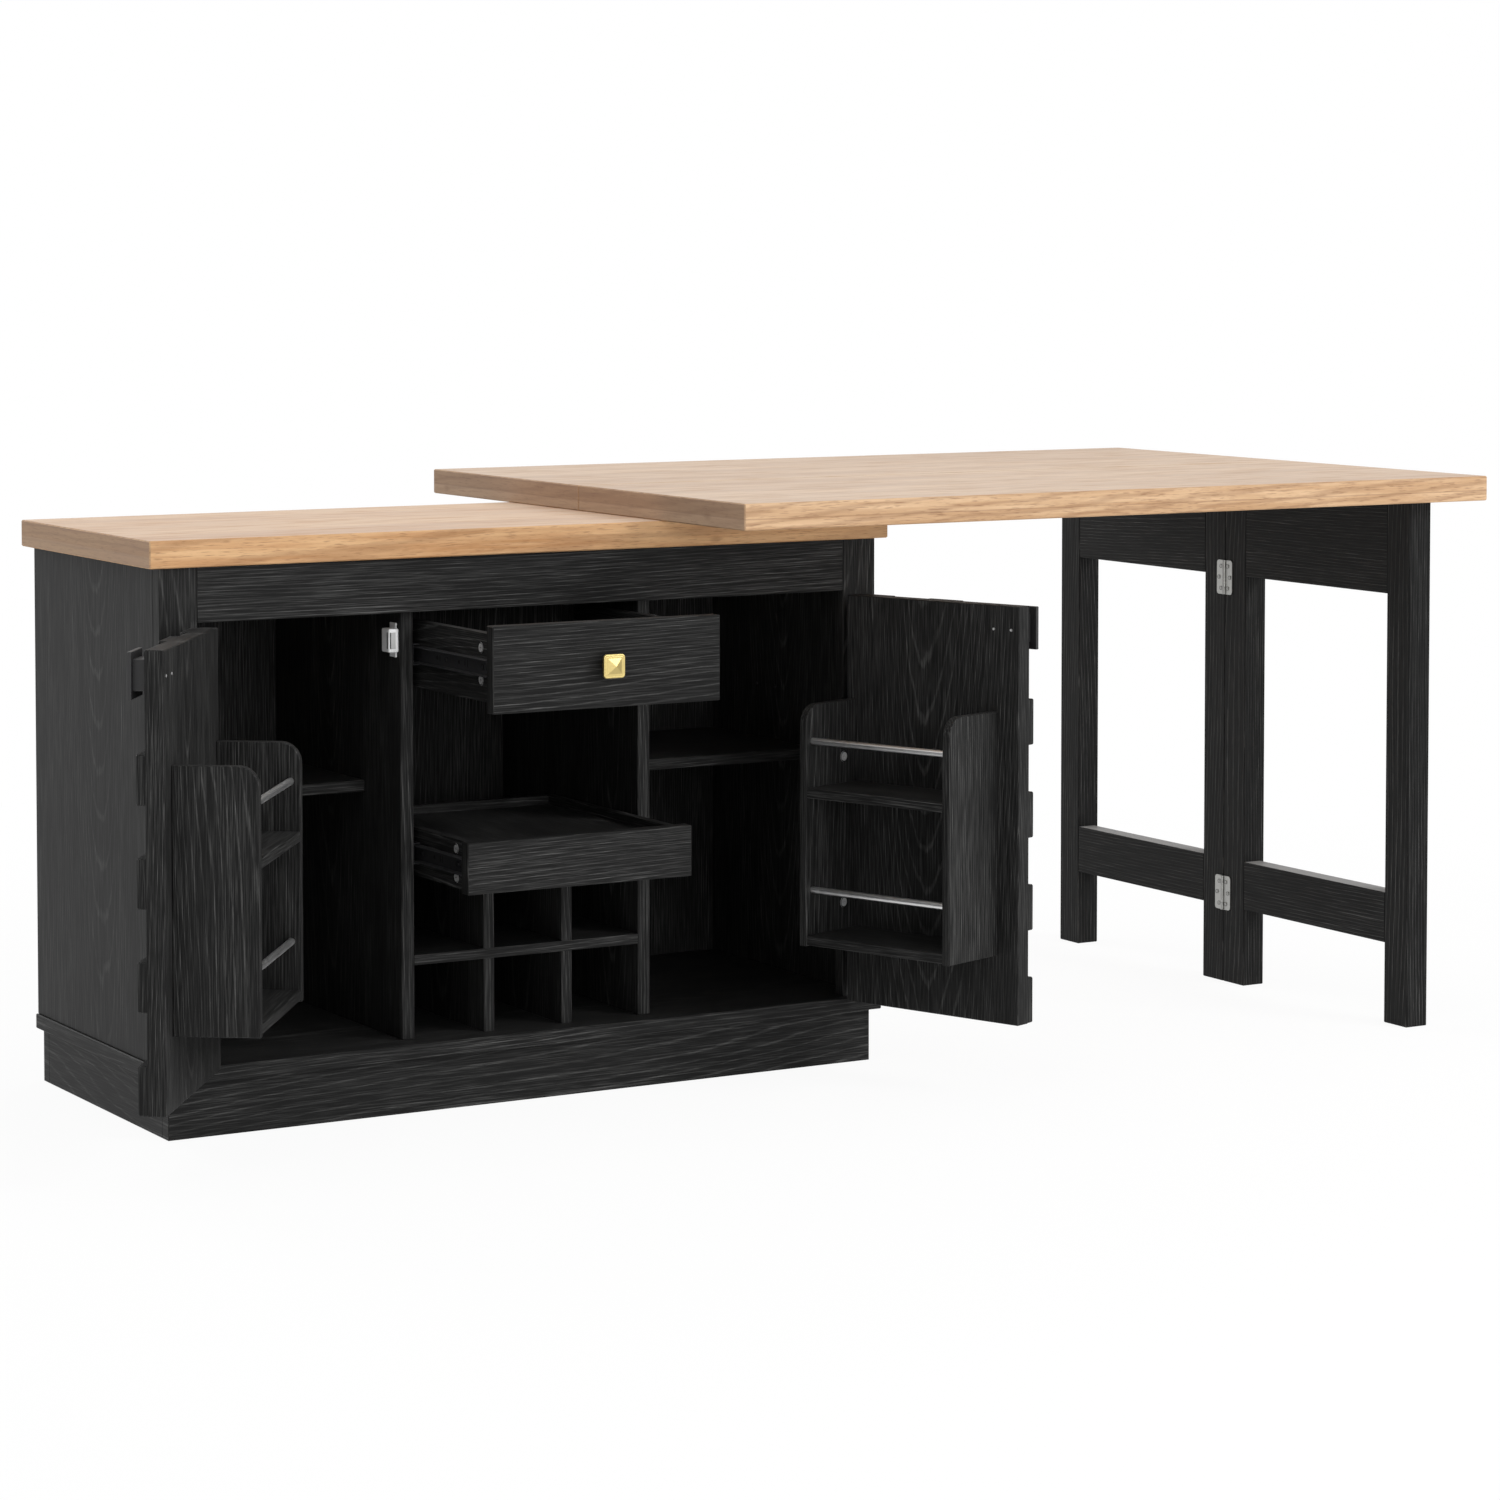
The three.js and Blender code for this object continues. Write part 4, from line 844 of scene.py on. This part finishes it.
class ISLAND_OT_hinge_screws(bpy.types.Operator):
    """Screws the butt hinges to the leg frames and the long hinges to the stiles"""

    bl_idname = "island.hinge_screws"
    bl_label = "Hinge screws"

    def execute(self, context):
        radius = context.scene.island_fittings.screw_radius
        nickel = bpy.data.materials["satin_nickel_plate"]
        oxide = bpy.data.materials["black_oxide_steel"]
        leaf_thick = 1.5
        hinge_feet = (108, 581)  # how high the lower ends of the two butt hinges are
        holes = ((8, 9), (13.2, 25.5), (8, 42))  # how far from the pin, and how far up the leaf
        for body, sign in (("front_frame", -1), ("table", 1)):
            bm = bmesh.new()
            for foot in hinge_feet:
                for out, up in holes:
                    at = spot(LEG_FACE_X - leaf_thick, LEG_SEAM + sign * out, foot + up)
                    cross_head(bm, upright(at, -X), radius, height=0.9 * MM)
            finish_piece(bm, f"{body}_hinge_screws", body, "nickel_hinge", nickel, oxide)
        leaf_x, leaf_y, lowest, spacing, count = 494, -1, 125, 60, 9
        for side, sign in SIDES.items():
            bm = bmesh.new()
            for i in range(count):
                at = spot(sign * leaf_x, leaf_y, lowest + spacing * i)
                cross_head(bm, upright(at, -Y), radius=2.4 * MM, height=0.5 * MM)
            name = f"{side}_stile_hinge_screws"
            finish_piece(bm, name, "cabinet", "black_steel", oxide, oxide)
        return {"FINISHED"}


class ISLAND_OT_runner_details(bpy.types.Operator):
    """Puts the screws and punched slots on the slides of the drawer and the tray"""

    bl_idname = "island.runner_details"
    bl_label = "Slide details"

    def execute(self, context):
        lacquer = bpy.data.materials["black_lacquered_steel"]
        oxide = bpy.data.materials["black_oxide_steel"]
        slide_x = 151
        screws = (29, 131, 259)  # how far behind the slide's front end
        slots = (  # how far behind the slide's front end, width and length
            (12, 2, 9), (19, 2, 9), (72, 2.2, 10), (79, 2.2, 10),
            (96, 5, 5), (150, 2, 9), (158, 5, 5), (205, 2.2, 10),
        )
        # each box, where its slides' front ends are, and how high the slides are
        for box, front, z in (("drawer", -184, 583), ("tray", -111.5, 328)):
            heads, marks = bmesh.new(), bmesh.new()
            for sign in SIDES.values():
                for back in screws:
                    at = upright(spot(sign * slide_x, front + back, z), sign * X)
                    cross_head(heads, at, radius=3.2 * MM, height=1.2 * MM)
                for back, width, length in slots:
                    at = upright(spot(sign * slide_x, front + back, z), sign * X)
                    slot_mark(marks, at, width * MM, length * MM)
            finish_piece(heads, f"{box}_slide_screws", box, "black_steel", lacquer, oxide)
            finish_piece(marks, f"{box}_slide_slots", box, "black_steel", oxide)
        return {"FINISHED"}


class ISLAND_OT_catch_plates(bpy.types.Operator):
    """Adds the magnets' grey covers and steel plates to the catches"""

    bl_idname = "island.catch_plates"
    bl_label = "Catch plates"

    def execute(self, context):
        # Magnets: sintered ferrite behind a grey cover. Their steel plates: cold-rolled, nearly
        # black.
        ferrite = worn_metal("grey_magnet_cover", "#C6C6C5", 0.5, grit=1 * MM, metallic=0.0)
        steel = bpy.data.materials["black_oxide_steel"]
        covers, plates = bmesh.new(), bmesh.new()
        front_y, middle_z, tall = 24.5, 602, 21 * MM
        cover_x, front_plate_x, side_plate_x, side_plate_back = 188.2, 192.2, 194.5, 4.4
        for sign in SIDES.values():
            at = upright(spot(sign * cover_x, front_y, middle_z), -Y)
            plate(covers, at, width=6.4 * MM, depth=tall, height=0.3 * MM)
            at = upright(spot(sign * front_plate_x, front_y, middle_z), -Y)
            plate(plates, at, width=1.3 * MM, depth=tall, height=0.4 * MM)
            at = upright(spot(sign * side_plate_x, front_y + side_plate_back, middle_z), sign * X)
            plate(plates, at, width=2.6 * MM, depth=tall, height=0.3 * MM)
        finish_piece(covers, "catch_magnet_covers", "cabinet", "white_plastic", ferrite)
        finish_piece(plates, "catch_steel_plates", "cabinet", "black_steel", steel)
        return {"FINISHED"}


class ISLAND_OT_shelf_pins(bpy.types.Operator):
    """Puts the pins in the compartments' side panels"""

    bl_idname = "island.shelf_pins"
    bl_label = "Shelf pins"

    def execute(self, context):
        lacquer = bpy.data.materials["black_lacquered_steel"]
        oxide = bpy.data.materials["black_oxide_steel"]
        panel_x, pin_ys, pin_z = 500, (287, 237), 486
        bm = bmesh.new()
        for sign in SIDES.values():
            for y in pin_ys:
                at = upright(spot(sign * panel_x, y, pin_z), -sign * X)
                cross_head(bm, at, radius=2.6 * MM, height=1.5 * MM)
        finish_piece(bm, "shelf_pins", "cabinet", "black_steel", lacquer, oxide)
        return {"FINISHED"}


# ------------------------------------------------------------ studio

FLOOR_RADIUS = 40
FLOOR_DROP = 0.6 * MM  # keeps the floor clear of the feet's undersides
SWEEP_STARTS, SWEEP_ENDS = 1.4, 3.0  # how far out the floor's shadow starts and ends fading
SWEEP_SHARE = 0.93  # how much of the floor is plain white nearer than that
WORLD_LIGHT = 0.46

# The photograph's camera: degrees for its tilt and turn, millimetres for its lens and film.
CAMERA_PLACE = (-2.46334, -4.79958, 1.12114)
CAMERA_DOWN, CAMERA_TURN = 2.9837, -30.1756
CAMERA_LENS, FILM_WIDTH = 100.632, 36.0
CAMERA_SHIFT = -0.2  # shares of the picture

# Each lamp: its name, its place, what it looks at, its width and its power in watts.
LAMPS = (
    ("key_front_right", (3.3, -3.9, 3.2), (0.3, 0.0, 0.5), 2.0, 130),
    ("front_soft", (-0.2, -4.8, 1.2), (0.0, 0.0, 0.4), 2.8, 58),
    ("fill_front_left", (-3.0, -2.6, 4.2), (0.0, 0.0, 0.4), 2.0, 17),
    ("top_soft", (0.3, 0.2, 3.8), (0.3, 0.1, 0.0), 3.0, 25),
    ("back_soft", (-1.0, 4.4, 2.6), (0.3, 0.2, 0.4), 2.6, 60),
)


def area_light(name, place, target, size, power):
    """A round soft lamp."""
    light = bpy.data.lights.new(name, "AREA")
    light.shape, light.size, light.energy = "DISK", size, power
    lamp = bpy.data.objects.new(name, light)
    lamp.location = place
    lamp.rotation_euler = (Vector(target) - Vector(place)).to_track_quat("-Z", "Y").to_euler()
    bpy.context.scene.collection.objects.link(lamp)


def seen_directly(tree):
    """1 for camera, glossy and transmission rays, which see white, and 0 for other light."""
    path = add(tree, "ShaderNodeLightPath").outputs
    either = {0: path["Is Camera Ray"], 1: path["Is Glossy Ray"]}
    either = add(tree, "ShaderNodeMath", either, operation="MAXIMUM").outputs[0]
    any_of = {0: either, 1: path["Is Transmission Ray"]}
    return add(tree, "ShaderNodeMath", any_of, operation="MAXIMUM").outputs[0]


class ISLAND_OT_studio(bpy.types.Operator):
    """Sets out the pale floor, the soft lights and the camera"""

    bl_idname = "island.studio"
    bl_label = "Studio"

    def execute(self, context):
        scene = context.scene
        # Floor: matt white sweep paper, seen as white, with only the object's soft shadow on it.
        paper, tree, shader = new_material("white_sweep_paper")
        shader.inputs["Base Color"].default_value = linear(WHITE)
        shader.inputs["Roughness"].default_value = 0.9
        glow = add(tree, "ShaderNodeEmission", {"Color": linear(WHITE), "Strength": 1.0})
        here = add(tree, "ShaderNodeTexCoord").outputs["Object"]
        out = add(tree, "ShaderNodeVectorMath", {0: here}, operation="LENGTH").outputs["Value"]
        sweep = {0: out, FROM_LOW: SWEEP_STARTS, FROM_HIGH: SWEEP_ENDS, TO_LOW: SWEEP_SHARE}
        sweep = add(tree, "ShaderNodeMapRange", sweep).outputs[0]
        share = {0: seen_directly(tree), 1: sweep}
        share = add(tree, "ShaderNodeMath", share, operation="MULTIPLY").outputs[0]
        both = {0: share, 1: shader.outputs[0], 2: glow.outputs[0]}
        both = add(tree, "ShaderNodeMixShader", both).outputs[0]
        tree.links.new(both, tree.nodes["Material Output"].inputs["Surface"])
        bm = bmesh.new()
        drop = Matrix.Translation((0, 0, -FLOOR_DROP))
        bmesh.ops.create_circle(bm, cap_ends=True, segments=64, radius=FLOOR_RADIUS, matrix=drop)
        mesh = bpy.data.meshes.new("studio_floor")
        bm.to_mesh(mesh)
        bm.free()
        mesh.materials.append(paper)
        floor = bpy.data.objects.new("studio_floor", mesh)
        scene.collection.objects.link(floor)

        world = bpy.data.worlds.new("white_studio")
        scene.world = world
        world.use_nodes = True
        tree = world.node_tree
        background = tree.nodes["Background"]
        background.inputs["Color"].default_value = linear(WHITE)
        level = add(tree, "ShaderNodeMapRange", {0: seen_directly(tree), TO_LOW: WORLD_LIGHT})
        tree.links.new(level.outputs[0], background.inputs["Strength"])

        for lamp in LAMPS:
            area_light(*lamp)

        lens = bpy.data.cameras.new("photo_camera")
        lens.lens, lens.sensor_width = CAMERA_LENS, FILM_WIDTH
        lens.shift_y = CAMERA_SHIFT
        lens.clip_end = 100
        camera = bpy.data.objects.new("photo_camera", lens)
        camera.location = CAMERA_PLACE
        camera.rotation_euler = (math.radians(90 - CAMERA_DOWN), 0, math.radians(CAMERA_TURN))
        scene.collection.objects.link(camera)
        scene.camera = camera
        scene.view_settings.view_transform = "Standard"
        return {"FINISHED"}


# ------------------------------------------------------------ add-on

OPERATORS = (
    ISLAND_OT_black_boards,
    ISLAND_OT_oak_tops,
    ISLAND_OT_metalware,
    ISLAND_OT_knob,
    ISLAND_OT_cams,
    ISLAND_OT_rack_discs,
    ISLAND_OT_hinge_screws,
    ISLAND_OT_runner_details,
    ISLAND_OT_catch_plates,
    ISLAND_OT_shelf_pins,
    ISLAND_OT_studio,
)


class ISLAND_PT_panel(bpy.types.Panel):
    """Lists the island's pieces and what can be changed about them"""

    bl_idname = "ISLAND_PT_panel"
    bl_label = "Kitchen Island"
    bl_space_type = "VIEW_3D"
    bl_region_type = "UI"
    bl_category = "Island"

    def draw(self, context):
        for group in (context.scene.island_looks, context.scene.island_fittings):
            for name in group.__annotations__:
                self.layout.prop(group, name)
        for operator in OPERATORS:
            self.layout.operator(operator.bl_idname)


CLASSES = (IslandLooks, IslandFittings, *OPERATORS, ISLAND_PT_panel)


def register():
    for cls in CLASSES:
        bpy.utils.register_class(cls)
    bpy.types.Scene.island_looks = PointerProperty(type=IslandLooks)
    bpy.types.Scene.island_fittings = PointerProperty(type=IslandFittings)


def unregister():
    del bpy.types.Scene.island_fittings
    del bpy.types.Scene.island_looks
    for cls in reversed(CLASSES):
        bpy.utils.unregister_class(cls)


def main():
    register()
    for operator in OPERATORS:
        group, name = operator.bl_idname.split(".")
        getattr(getattr(bpy.ops, group), name)()


if __name__ == "__main__":
    main()
